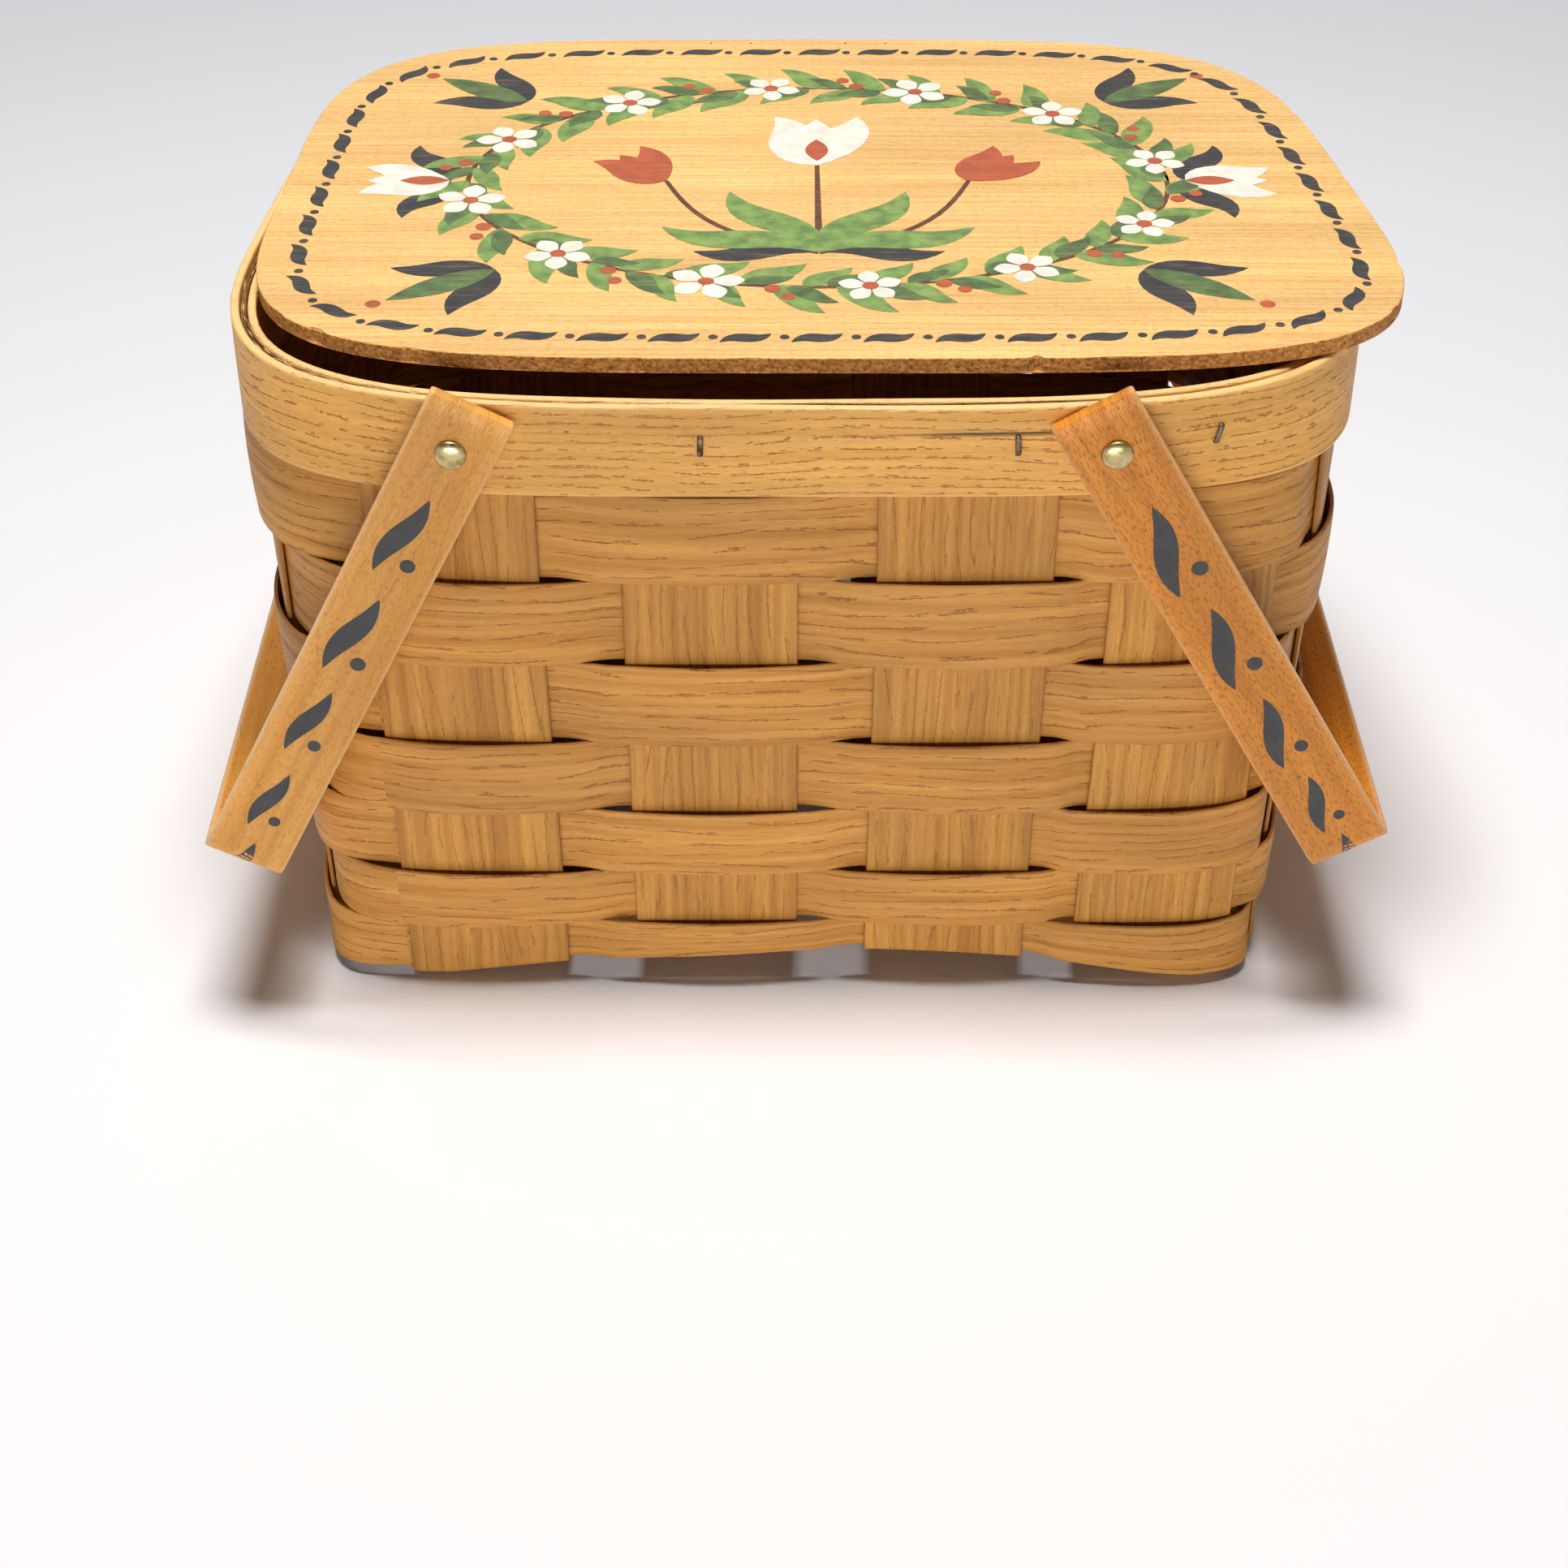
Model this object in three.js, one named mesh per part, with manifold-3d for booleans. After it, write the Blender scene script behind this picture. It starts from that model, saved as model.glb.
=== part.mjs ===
// A woven ash-splint picnic basket: wide stakes crossed under the base, seven hoops of weaver,
// a two-band rim, two bentwood swing handles on brass rivets and a hinged board lid.
// Millimetres, +Z up, front towards -Y, origin on the floor under the middle of the base.

import * as THREE from "three";
import Module from "manifold-3d";
import { mergeVertices } from "three/addons/utils/BufferGeometryUtils.js";

const wasm = await Module();
wasm.setup();

// Fits
const CLEARANCE = 0.3;
const WEAVE_CLEARANCE = 0.6;

// Overall form: the outlines are superellipses, rounder at the rim than at the base,
// and at the rim a little wider in front than at the back
const RIM_LENGTH = 403;
const RIM_DEPTH = 314;
const RIM_TOP = 272;
const RIM_ROUNDNESS = 3.7;
const RIM_TAPER = 0.07;
const BASE_LENGTH = 375;
const BASE_DEPTH = 276;
const BASE_ROUNDNESS = 15;
const BASE_RISE = 12.5;
const BASE_FLAT_LEFT = 49.5;
const BASE_FLAT_RIGHT = 29.5;
const BASE_RISE_HEIGHT = 40;

// Stakes: four run front to back under the base, three run left to right and weave through them
const SPLINT = 1.6;
const STAKE_WIDTH = 63;
const STAKE_BEND = 4.5;
const LEFT_MARGIN = 34;
const RIGHT_MARGIN = 14;
const LONG_STAKE_SHIFTS = [0, 3, 5, 0];
const FRONT_MARGIN = 22;
const CROSS_STAKE_COUNT = 3;

// Weavers, with the share of the wall's height that each row takes, from the rim down
const ROW_SHARES = [38, 37, 36.5, 33.5, 31, 28, 26.5];
const ROW_GAP = 1.2;
const LAST_ROW_SINK = 2;
const WEAVER_CROWN = 1.8;
const WEAVER_LAP = 1.5;
const SPAN_STEPS = 4;

// Rim
const BAND_HEIGHT = 36;
const BAND_THICKNESS = 3.2;
const INNER_BAND_HEIGHT = 32;
const INNER_BAND_DROP = 1;
const FILLER_HEIGHT = 5;
const FILLER_DROP = 1.5;

// Wire staples in the outer band, by side of the basket and distance along that side
const STAPLES = [
  ["front", -33],
  ["front", 75],
  ["front", 143],
  ["right", 12],
  ["back", 78],
  ["back", 2],
  ["back", -78],
  ["left", -18],
];
const STAPLE_WIRE = 1.2;
const STAPLE_HEIGHT = 8;
const STAPLE_LEG = 2.6;
const STAPLE_BELOW_TOP = 15;

// Swing handles
const PIVOT_OFF_FIRST_STAKE = 4.7;
const PIVOT_BELOW_TOP = 15.2;
const HANDLE_WIDTH = 30.5;
const HANDLE_THICKNESS = 5;
const HANDLE_REACH = 203;
const HANDLE_BEND = 10;
const HANDLE_EDGE = 0.8;
const FRONT_TAIL = 19;
const BACK_TAIL = 9;
const HANDLE_OFF_RIM = 0.6;
const HANDLE_OFF_WALL = 0.6;

// Rivets
const RIVET_HEAD_RADIUS = 5.5;
const RIVET_HEAD_RISE = 2.6;
const RIVET_SHANK_RADIUS = 2.1;
const BURR_RADIUS = 4.5;
const BURR_THICKNESS = 1.2;
const WASHER_RADIUS = 6.5;

// Lid
const LID_THICKNESS = 6;
const LID_END_OVERHANG = 2;
const LID_FRONT_INSET = 21;
const LID_BACK_INSET = 6;
const LID_ROUNDNESS = 4.3;
const LID_TAPER = 0.062;
const LID_SKEW = -0.046;
const LID_SHIFT_X = 8.3;

// Butt hinges at the back
const HINGES = [-27, 30];
const HINGE_WIDTH = 26;
const LEAF_THICKNESS = 1;
const LEAF_MARGIN = 3.5;
const RIM_LEAF_HEIGHT = 17;
const KNUCKLE_RADIUS = 2.2;
const PIN_RADIUS = 1;
const NAIL_RADIUS = 0.7;
const NAIL_HEAD_RADIUS = 1.6;
const NAIL_HEAD_THICKNESS = 0.7;
const NAIL_SPACING = 17;
const NAIL_TIP = 0.5;
const RIM_NAIL_BITE = 2;

// Finish
const WEAVER_WOOD = new THREE.MeshStandardMaterial({ color: 0xc99b55, roughness: 0.6, metalness: 0 });
const STAKE_WOOD = new THREE.MeshStandardMaterial({ color: 0xd2a865, roughness: 0.6, metalness: 0 });
const RIM_WOOD = new THREE.MeshStandardMaterial({ color: 0xc8964e, roughness: 0.55, metalness: 0 });
const HANDLE_WOOD = new THREE.MeshStandardMaterial({ color: 0xb97f45, roughness: 0.5, metalness: 0 });
const LID_BOARD = new THREE.MeshStandardMaterial({ color: 0xe0a860, roughness: 0.5, metalness: 0 });
const BRASS = new THREE.MeshStandardMaterial({ color: 0xb08a48, roughness: 0.35, metalness: 1 });
const STEEL = new THREE.MeshStandardMaterial({ color: 0x55524e, roughness: 0.5, metalness: 1 });

// Places that follow from the sizes
const STAKE_HALF = STAKE_WIDTH / 2;
const WEAVER_OFFSET = SPLINT + WEAVE_CLEARANCE;
const BAND_SEAT = SPLINT / 2 + WEAVE_CLEARANCE;
const BAND_FACE = BAND_SEAT + BAND_THICKNESS;
const BASE_PLANE = WEAVER_OFFSET + SPLINT / 2;
const BEND_TOP = BASE_PLANE + STAKE_BEND;
const BAND_BOTTOM = RIM_TOP - BAND_HEIGHT;
const STAKE_TOP = RIM_TOP - FILLER_DROP - FILLER_HEIGHT - CLEARANCE;
const PIVOT_Z = RIM_TOP - PIVOT_BELOW_TOP;
const HOLE_RADIUS = RIVET_SHANK_RADIUS + CLEARANCE;
const NAIL_HOLE_RADIUS = NAIL_RADIUS + CLEARANCE;

const basket = new THREE.Group();

function addMesh(name, geometry, material, parent = basket) {
  const mesh = new THREE.Mesh(geometry, material);
  mesh.name = name;
  parent.add(mesh);
}

// Joining and cutting

function toSolid(geometry) {
  const bare = geometry.clone();
  bare.deleteAttribute("normal");
  bare.deleteAttribute("uv");
  const merged = mergeVertices(bare, 1e-4);
  const mesh = new wasm.Mesh({
    numProp: 3,
    vertProperties: new Float32Array(merged.attributes.position.array),
    triVerts: new Uint32Array(merged.index.array),
  });
  return new wasm.Manifold(mesh);
}

function toGeometry(solid) {
  const mesh = solid.getMesh();
  const geometry = new THREE.BufferGeometry();
  geometry.setAttribute("position", new THREE.BufferAttribute(mesh.vertProperties, 3));
  geometry.setIndex(new THREE.BufferAttribute(mesh.triVerts, 1));
  return geometry;
}

function cut(geometry, cutters) {
  return toGeometry(cutters.reduce((rest, cutter) => rest.subtract(toSolid(cutter)), toSolid(geometry)));
}

function join(geometries) {
  return toGeometry(geometries.map(toSolid).reduce((whole, other) => whole.add(other)));
}

// A round bar along one axis, between two distances on it
function bar(axis, radius, from, to) {
  const sides = 12;
  const geometry = new THREE.CylinderGeometry(radius, radius, to - from, sides);
  geometry.translate(0, (from + to) / 2, 0);
  if (axis === "z") geometry.rotateX(Math.PI / 2);
  if (axis === "x") geometry.rotateZ(-Math.PI / 2);
  return geometry;
}

// A block between two corners
function block(low, high) {
  const size = high.map((value, k) => value - low[k]);
  return new THREE.BoxGeometry(...size).translate(...low.map((value, k) => value + size[k] / 2));
}

// The wall's middle surface

const mix = (from, to, t) => from + (to - from) * t;

function outlineAt(z) {
  const t = THREE.MathUtils.clamp((z - BEND_TOP) / (RIM_TOP - BEND_TOP), 0, 1);
  return {
    a: mix(BASE_LENGTH / 2 - SPLINT / 2, RIM_LENGTH / 2 - BAND_FACE, t),
    b: mix(BASE_DEPTH / 2 - SPLINT / 2, RIM_DEPTH / 2 - BAND_FACE, t),
    n: mix(BASE_ROUNDNESS, RIM_ROUNDNESS, Math.sqrt(t)),
    taper: mix(0, RIM_TAPER, t ** 2),
  };
}

// Half the length that an outline would have at y if its corners were square
const squareHalf = ({ a, b, taper }, y) => a * (1 - taper * y / b);

function superellipse(outline, angle) {
  const { a, b, n } = outline;
  const c = Math.cos(angle);
  const s = Math.sin(angle);
  const r = (Math.abs(c / a) ** n + Math.abs(s / b) ** n) ** (-1 / n);
  return new THREE.Vector2(r * c / a * squareHalf(outline, r * s), r * s);
}

// Where an outline has a given x on the front (side -1) or the back (side 1), or a given y on either end
function pointAtX(outline, x, side) {
  const { b, n } = outline;
  let y = side * b;
  for (let i = 0; i < 8; i += 1) {
    y = side * b * (1 - Math.abs(x / squareHalf(outline, y)) ** n) ** (1 / n);
  }
  return new THREE.Vector2(x, y);
}

function pointAtY(outline, y, side) {
  const { b, n } = outline;
  return new THREE.Vector2(side * squareHalf(outline, y) * (1 - Math.abs(y / b) ** n) ** (1 / n), y);
}

// Outward direction of an outline at a point on it
function outward(outline, p) {
  const { a, b, n, taper } = outline;
  const half = squareHalf(outline, p.y);
  const gx = Math.sign(p.x) * Math.abs(p.x / half) ** (n - 1) / half;
  const gy = Math.sign(p.y) * Math.abs(p.y / b) ** (n - 1) / b;
  return new THREE.Vector2(gx, gy + Math.abs(p.x / half) ** n * taper * a / b / half).normalize();
}

// The base is raised a little between its ends, and the wall above it less and less
function raised(x, y, z) {
  const start = BASE_FLAT_LEFT - BASE_LENGTH / 2;
  const end = BASE_LENGTH / 2 - BASE_FLAT_RIGHT;
  const along = THREE.MathUtils.clamp((x - start) / (end - start), 0, 1);
  const fade = 1 - THREE.MathUtils.clamp((z - BEND_TOP) / BASE_RISE_HEIGHT, 0, 1);
  return new THREE.Vector3(x, y, z + BASE_RISE * Math.sin(Math.PI * along) * fade ** 2);
}

function wallPoint(outline, p, offset, z) {
  const q = p.clone().addScaledVector(outward(outline, p), offset);
  return raised(q.x, q.y, z);
}

// How far in front of or behind the middle a face lies that is at an offset from the wall, at x along it
function faceDepth(x, z, offset, side) {
  const outline = outlineAt(z);
  let p = pointAtX(outline, x, side);
  for (let i = 0; i < 8; i += 1) {
    p = pointAtX(outline, x - outward(outline, p).x * offset, side);
  }
  return Math.abs(p.y + outward(outline, p).y * offset);
}

const faceDepths = (x, z, offset) => [-1, 1].map((side) => faceDepth(x, z, offset, side));

// Angles round an outline, closer together where it turns
function ringAngles(outline) {
  const samples = 1440;
  const turnStep = THREE.MathUtils.degToRad(10);
  const lengthStep = 24;
  const angles = [];
  let passed = 0;
  let last = superellipse(outline, 0);
  for (let i = 1; i <= samples; i += 1) {
    const angle = (i / samples) * 2 * Math.PI;
    const p = superellipse(outline, angle);
    const turn = Math.acos(Math.min(outward(outline, p).dot(outward(outline, last)), 1));
    passed += p.distanceTo(last) / lengthStep + turn / turnStep;
    last = p;
    if (passed >= 1) {
      angles.push(angle);
      passed = 0;
    }
  }
  return angles;
}

// Ribbons: a strip with an outer and an inner face, each given as rows of points across it

function ribbon(outer, inner, closed) {
  const rows = outer.length;
  const across = outer[0].length;
  const last = across - 1;
  const index = [];
  const onOuter = (i, j) => (i % rows) * across + j;
  const onInner = (i, j) => rows * across + onOuter(i, j);
  const quad = (a, b, c, d) => index.push(a, b, c, a, c, d);
  for (let i = 0; i < (closed ? rows : rows - 1); i += 1) {
    for (let j = 0; j < last; j += 1) {
      quad(onOuter(i, j), onOuter(i + 1, j), onOuter(i + 1, j + 1), onOuter(i, j + 1));
      quad(onInner(i, j), onInner(i, j + 1), onInner(i + 1, j + 1), onInner(i + 1, j));
    }
    quad(onOuter(i, 0), onInner(i, 0), onInner(i + 1, 0), onOuter(i + 1, 0));
    quad(onOuter(i, last), onOuter(i + 1, last), onInner(i + 1, last), onInner(i, last));
  }
  for (let j = 0; j < last && !closed; j += 1) {
    const end = rows - 1;
    quad(onOuter(0, j), onOuter(0, j + 1), onInner(0, j + 1), onInner(0, j));
    quad(onOuter(end, j), onInner(end, j), onInner(end, j + 1), onOuter(end, j + 1));
  }
  const geometry = new THREE.BufferGeometry();
  const points = [...outer.flat(), ...inner.flat()];
  geometry.setFromPoints(points);
  geometry.setIndex(volume(points, index) > 0 ? index : index.toReversed());
  return geometry;
}

function volume(points, index) {
  let six = 0;
  for (let k = 0; k < index.length; k += 3) {
    const [a, b, c] = [0, 1, 2].map((i) => points[index[k + i]]);
    six += a.dot(b.clone().cross(c));
  }
  return six / 6;
}

// A hoop that follows the wall between two heights near the rim, at set offsets from its middle surface
function hoop(bottom, top, innerOffset, outerOffset) {
  const angles = ringAngles(outlineAt(RIM_TOP));
  const face = (offset) => angles.map((angle) => [bottom, top].map((z) => {
    const outline = outlineAt(z);
    return wallPoint(outline, superellipse(outline, angle), offset, z);
  }));
  return ribbon(face(outerOffset), face(innerOffset), true);
}

// Heights of the weaver rows, from the rim down
const shareTotal = ROW_SHARES.reduce((sum, share) => sum + share, 0);
const rowsBottom = BEND_TOP - LAST_ROW_SINK;
const wallLevels = [BAND_BOTTOM];
for (const share of ROW_SHARES) {
  wallLevels.push(wallLevels.at(-1) - (share / shareTotal) * (BAND_BOTTOM - rowsBottom));
}

// Where the stakes cross the base
const firstLong = -BASE_LENGTH / 2 + LEFT_MARGIN + STAKE_HALF;
const lastLong = BASE_LENGTH / 2 - RIGHT_MARGIN - STAKE_HALF;
const longStakes = LONG_STAKE_SHIFTS.map((shift, k) => {
  return mix(firstLong, lastLong, k / (LONG_STAKE_SHIFTS.length - 1)) + shift;
});
const firstCross = -BASE_DEPTH / 2 + FRONT_MARGIN + STAKE_HALF;
const crossStakes = Array.from({ length: CROSS_STAKE_COUNT }, (_, k) => {
  return mix(firstCross, -firstCross, k / (CROSS_STAKE_COUNT - 1));
});

// Distances round the wall at one height, anticlockwise from the middle of the right side
const rounds = new Map();

function roundAt(z) {
  if (!rounds.has(z)) {
    const samples = 1440;
    const outline = outlineAt(z);
    const step = 2 * Math.PI / samples;
    const lengths = [0];
    for (let i = 1; i <= samples; i += 1) {
      const chord = superellipse(outline, i * step).distanceTo(superellipse(outline, (i - 1) * step));
      lengths.push(lengths.at(-1) + chord);
    }
    rounds.set(z, { outline, step, lengths, total: lengths.at(-1) });
  }
  return rounds.get(z);
}

function distanceOf({ step, lengths, total }, angle) {
  const turns = Math.floor(angle / (2 * Math.PI));
  const place = (angle - turns * 2 * Math.PI) / step;
  const i = Math.min(Math.floor(place), lengths.length - 2);
  return turns * total + mix(lengths[i], lengths[i + 1], place - i);
}

function angleOf({ step, lengths, total }, distance) {
  const rest = THREE.MathUtils.euclideanModulo(distance, total);
  const i = Math.max(lengths.findIndex((length) => length > rest), 1) - 1;
  return step * (i + (rest - lengths[i]) / (lengths[i + 1] - lengths[i]));
}

// A point on the wall at a distance round it and an offset from its middle surface
function roundPoint(z, distance, offset) {
  const round = roundAt(z);
  return wallPoint(round.outline, superellipse(round.outline, angleOf(round, distance)), offset, z);
}

// The stakes in order round the base, from the front left corner: front, right end, back, left end
const baseRound = roundAt(BEND_TOP);
const baseStart = Math.atan2(-baseRound.outline.b, -baseRound.outline.a);
const longEnd = (x, side) => pointAtX(baseRound.outline, x, side).angle();
const crossEnd = (y, side) => pointAtY(baseRound.outline, y, side).angle();
const baseStakes = [
  ...longStakes.map((x) => longEnd(x, -1)),
  ...crossStakes.map((y) => crossEnd(y, 1)),
  ...longStakes.toReversed().map((x) => longEnd(x, 1)),
  ...crossStakes.toReversed().map((y) => crossEnd(y, -1)),
].map((angle) => {
  return distanceOf(baseRound, baseStart + THREE.MathUtils.euclideanModulo(angle - baseStart, 2 * Math.PI));
});

// How much of a stretch of the base's outline lies under stakes
function stakesWithin(from, to) {
  const copies = baseStakes.flatMap((centre) => [-1, 0, 1].map((turn) => centre + turn * baseRound.total));
  return copies.reduce((sum, centre) => {
    return sum + Math.max(Math.min(to, centre + STAKE_HALF) - Math.max(from, centre - STAKE_HALF), 0);
  }, 0);
}

// Higher up, in each quarter of the round, each gap keeps its share of what the stakes leave free
function stakeCentre(k, z) {
  const centre = baseStakes[k];
  const quarter = Math.floor(centre / (baseRound.total / 4));
  const [baseFrom, baseTo] = [quarter, quarter + 1].map((q) => distanceOf(baseRound, q * Math.PI / 2));
  const [from, to] = [quarter, quarter + 1].map((q) => distanceOf(roundAt(z), q * Math.PI / 2));
  const taken = stakesWithin(baseFrom, baseTo);
  const before = stakesWithin(baseFrom, centre);
  const spread = (to - from - taken) / (baseTo - baseFrom - taken);
  return from + before + spread * (centre - baseFrom - before);
}

// The length of a weaver's round that each stake takes, and after the last one the first one again
function stakeSpans(z) {
  const reach = STAKE_HALF + WEAVER_LAP;
  const spans = baseStakes.map((_, k) => [stakeCentre(k, z) - reach, stakeCentre(k, z) + reach]);
  return [...spans, spans[0].map((distance) => distance + roundAt(z).total)];
}

// A path over one span and under the next: how far along the spans each station is, and its offset
function overUnder(spans, sideOf, crown) {
  const gapStep = 11;
  const stations = [];
  spans.forEach(([, to], k) => {
    const side = sideOf(k);
    for (let i = 0; i <= SPAN_STEPS; i += 1) {
      const t = i / SPAN_STEPS;
      const bulge = side > 0 ? crown * Math.sin(Math.PI * t) : 0;
      stations.push({ place: (all) => mix(...all[k], t), offset: side * (WEAVER_OFFSET + bulge) });
    }
    if (k + 1 === spans.length) return;
    const steps = Math.max(3, Math.ceil((spans[k + 1][0] - to) / gapStep));
    for (let i = 1; i < steps; i += 1) {
      const t = i / steps;
      const place = (all) => mix(all[k][1], all[k + 1][0], t);
      stations.push({ place, offset: side * WEAVER_OFFSET * Math.cos(Math.PI * t) });
    }
  });
  return stations;
}

// One row of weaver: behind the first stake in odd rows, over it in even rows.
// The path ends on the first stake again, and the hoop closes there without the repeat.
function weaver(row) {
  const top = wallLevels[row] - ROW_GAP / 2;
  const bottom = wallLevels[row + 1] + ROW_GAP / 2;
  const sideOf = (k) => ((k + row) % 2 === 0 ? -1 : 1);
  const onceRound = overUnder(stakeSpans((top + bottom) / 2), sideOf, WEAVER_CROWN);
  const stations = onceRound.slice(0, -(SPAN_STEPS + 1));
  const spansAt = new Map([bottom, top].map((z) => [z, stakeSpans(z)]));
  const face = (shift) => stations.map(({ place, offset }) => [bottom, top].map((z) => {
    return roundPoint(z, place(spansAt.get(z)), offset + shift);
  }));
  return ribbon(face(SPLINT / 2), face(-SPLINT / 2), true);
}

// Heights at which a stake follows the wall, the angles of its bend into the base, and places across it
const stakeLevels = [STAKE_TOP, ...wallLevels.slice(0, -1), BEND_TOP];
const bendAngles = [30, 60, 90].map(THREE.MathUtils.degToRad);
const ACROSS = [0, 0.2, 0.4, 0.6, 0.8, 1].map((t) => mix(-STAKE_HALF, STAKE_HALF, t));

// One face of a stake's upright: down the wall and round the bend, to where it lies flat
function upright(k, direction, inwards, shift) {
  const wall = stakeLevels.map((z) => ACROSS.map((across) => {
    return roundPoint(z, stakeCentre(k, z) + direction * across, shift);
  }));
  const bend = bendAngles.map((turn) => ACROSS.map((across) => {
    const angle = angleOf(baseRound, stakeCentre(k, BEND_TOP) + direction * across);
    const radius = STAKE_BEND + shift;
    const inset = STAKE_BEND - radius * Math.cos(turn);
    const p = superellipse(baseRound.outline, angle).addScaledVector(inwards, inset);
    return raised(p.x, p.y, BEND_TOP - radius * Math.sin(turn));
  }));
  return [...wall, ...bend];
}

// A stake that runs down the front, flat under the base and up the back
function longStake(number) {
  const back = 2 * longStakes.length + crossStakes.length - 1 - number;
  const face = (shift) => [
    ...upright(number, 1, new THREE.Vector2(0, 1), shift),
    ...upright(back, -1, new THREE.Vector2(0, -1), shift).reverse(),
  ];
  return ribbon(face(SPLINT / 2), face(-SPLINT / 2), false);
}

// A stake that runs down the left end, under and over the long stakes, and up the right end
function crossStake(number) {
  const reach = STAKE_HALF + WEAVER_LAP;
  const spans = longStakes.map((x) => [x - reach, x + reach]);
  const sideOf = (k) => ((k + number) % 2 === 0 ? -1 : 1);
  const stations = overUnder(spans, sideOf, 0);
  const base = (shift) => stations.map(({ place, offset }) => ACROSS.map((across) => {
    return raised(place(spans), crossStakes[number] + across, BASE_PLANE + offset - shift);
  }));
  const left = baseStakes.length - 1 - number;
  const right = longStakes.length + number;
  const face = (shift) => [
    ...upright(left, -1, new THREE.Vector2(1, 0), shift),
    ...base(shift),
    ...upright(right, 1, new THREE.Vector2(-1, 0), shift).reverse(),
  ];
  return ribbon(face(SPLINT / 2), face(-SPLINT / 2), false);
}

// The left handle turns beside the middle of the first long stake, through it, and the right handle
// just clear of the front inner edge of the last one
const lastStake = longStakes.length - 1;
const firstMiddle = roundPoint(PIVOT_Z, stakeCentre(0, PIVOT_Z), 0).x;
const lastEdge = roundPoint(PIVOT_Z, stakeCentre(lastStake, PIVOT_Z) - STAKE_HALF, 0).x;
const leftPivot = firstMiddle + PIVOT_OFF_FIRST_STAKE;
const rightPivot = lastEdge - HOLE_RADIUS - CLEARANCE;
const pivotX = (side) => (side < 0 ? leftPivot : rightPivot);

// The handles swing in planes just outside the fullest part of the rim that they pass
const handleSweep = Math.hypot(FRONT_TAIL, HANDLE_WIDTH / 2) + HANDLE_OFF_RIM;
const innermost = Math.min(-leftPivot, rightPivot) - handleSweep;
const legInner = Math.max(...faceDepths(innermost, RIM_TOP, BAND_FACE)) + HANDLE_OFF_RIM;
const legOuter = legInner + HANDLE_THICKNESS;
const CORNERS = [
  ["front_left", -1, -1],
  ["front_right", 1, -1],
  ["back_left", -1, 1],
  ["back_right", 1, 1],
];

// The rivet holes run along Y through everything between the rivet's head and its burr
const rivetHoles = CORNERS.map(([, sideX, sideY]) => {
  const hole = bar("y", HOLE_RADIUS, legInner - WASHER_RADIUS * 4, legOuter + CLEARANCE);
  return hole.rotateZ(sideY < 0 ? Math.PI : 0).translate(pivotX(sideX), 0, PIVOT_Z);
});

// Staples: the crown lies on the outer band and two legs enter it
function staplePlace([side, distance]) {
  const z = RIM_TOP - STAPLE_BELOW_TOP;
  const outline = outlineAt(z);
  const p = {
    front: () => pointAtX(outline, distance, -1),
    back: () => pointAtX(outline, distance, 1),
    left: () => pointAtY(outline, distance, -1),
    right: () => pointAtY(outline, distance, 1),
  }[side]();
  const turn = outward(outline, p).angle();
  const at = wallPoint(outline, p, BAND_FACE, z);
  return new THREE.Matrix4().makeRotationZ(turn).setPosition(at);
}

function stapleGeometry() {
  const half = STAPLE_HEIGHT / 2;
  const crown = CLEARANCE + STAPLE_WIRE;
  const outline = new THREE.Shape([
    new THREE.Vector2(crown, -half),
    new THREE.Vector2(crown, half),
    new THREE.Vector2(-STAPLE_LEG, half),
    new THREE.Vector2(-STAPLE_LEG, half - STAPLE_WIRE),
    new THREE.Vector2(CLEARANCE, half - STAPLE_WIRE),
    new THREE.Vector2(CLEARANCE, -half + STAPLE_WIRE),
    new THREE.Vector2(-STAPLE_LEG, -half + STAPLE_WIRE),
    new THREE.Vector2(-STAPLE_LEG, -half),
  ]);
  const geometry = new THREE.ExtrudeGeometry(outline, { depth: STAPLE_WIRE, bevelEnabled: false });
  return geometry.translate(0, 0, -STAPLE_WIRE / 2).rotateX(Math.PI / 2);
}

function stapleHoles() {
  const half = STAPLE_HEIGHT / 2;
  const side = STAPLE_WIRE / 2 + CLEARANCE;
  return [-1, 1].map((end) => {
    const z = end * (half - STAPLE_WIRE / 2);
    return block([-STAPLE_LEG - CLEARANCE, -side, z - side], [STAPLE_WIRE, side, z + side]);
  });
}

// Hinge axis: behind the rim leaf, with the top of the knuckle level with the lid leaf
const rimBack = RIM_DEPTH / 2;
const hingeHalf = HINGE_WIDTH / 2;
const lidLeafBottom = RIM_TOP + CLEARANCE;
const lidLeafTop = lidLeafBottom + LEAF_THICKNESS;
const lidBottom = lidLeafTop + CLEARANCE;
const rimLeafInner = rimBack + CLEARANCE;
const rimLeafOuter = rimLeafInner + LEAF_THICKNESS;
const axisY = rimLeafOuter + CLEARANCE + KNUCKLE_RADIUS;
const axisZ = lidLeafBottom + LEAF_THICKNESS / 2 - KNUCKLE_RADIUS;
const lidNailY = faceDepth(HINGES[1] + hingeHalf, RIM_TOP, -BAND_FACE, 1) - NAIL_HEAD_RADIUS - CLEARANCE;
const rimNailZ = axisZ - RIM_LEAF_HEIGHT / 2;
const nailXs = HINGES.flatMap((x) => [x - NAIL_SPACING / 2, x + NAIL_SPACING / 2]);
const rimNailHoles = nailXs.map((x) => {
  const inner = rimBack - RIM_NAIL_BITE - CLEARANCE;
  return bar("y", NAIL_HOLE_RADIUS, inner, rimLeafOuter + CLEARANCE).translate(x, 0, rimNailZ);
});
const lidNailHoles = nailXs.map((x) => {
  return bar("z", NAIL_HOLE_RADIUS, RIM_TOP, lidLeafTop + CLEARANCE).translate(x, lidNailY, 0);
});

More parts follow.
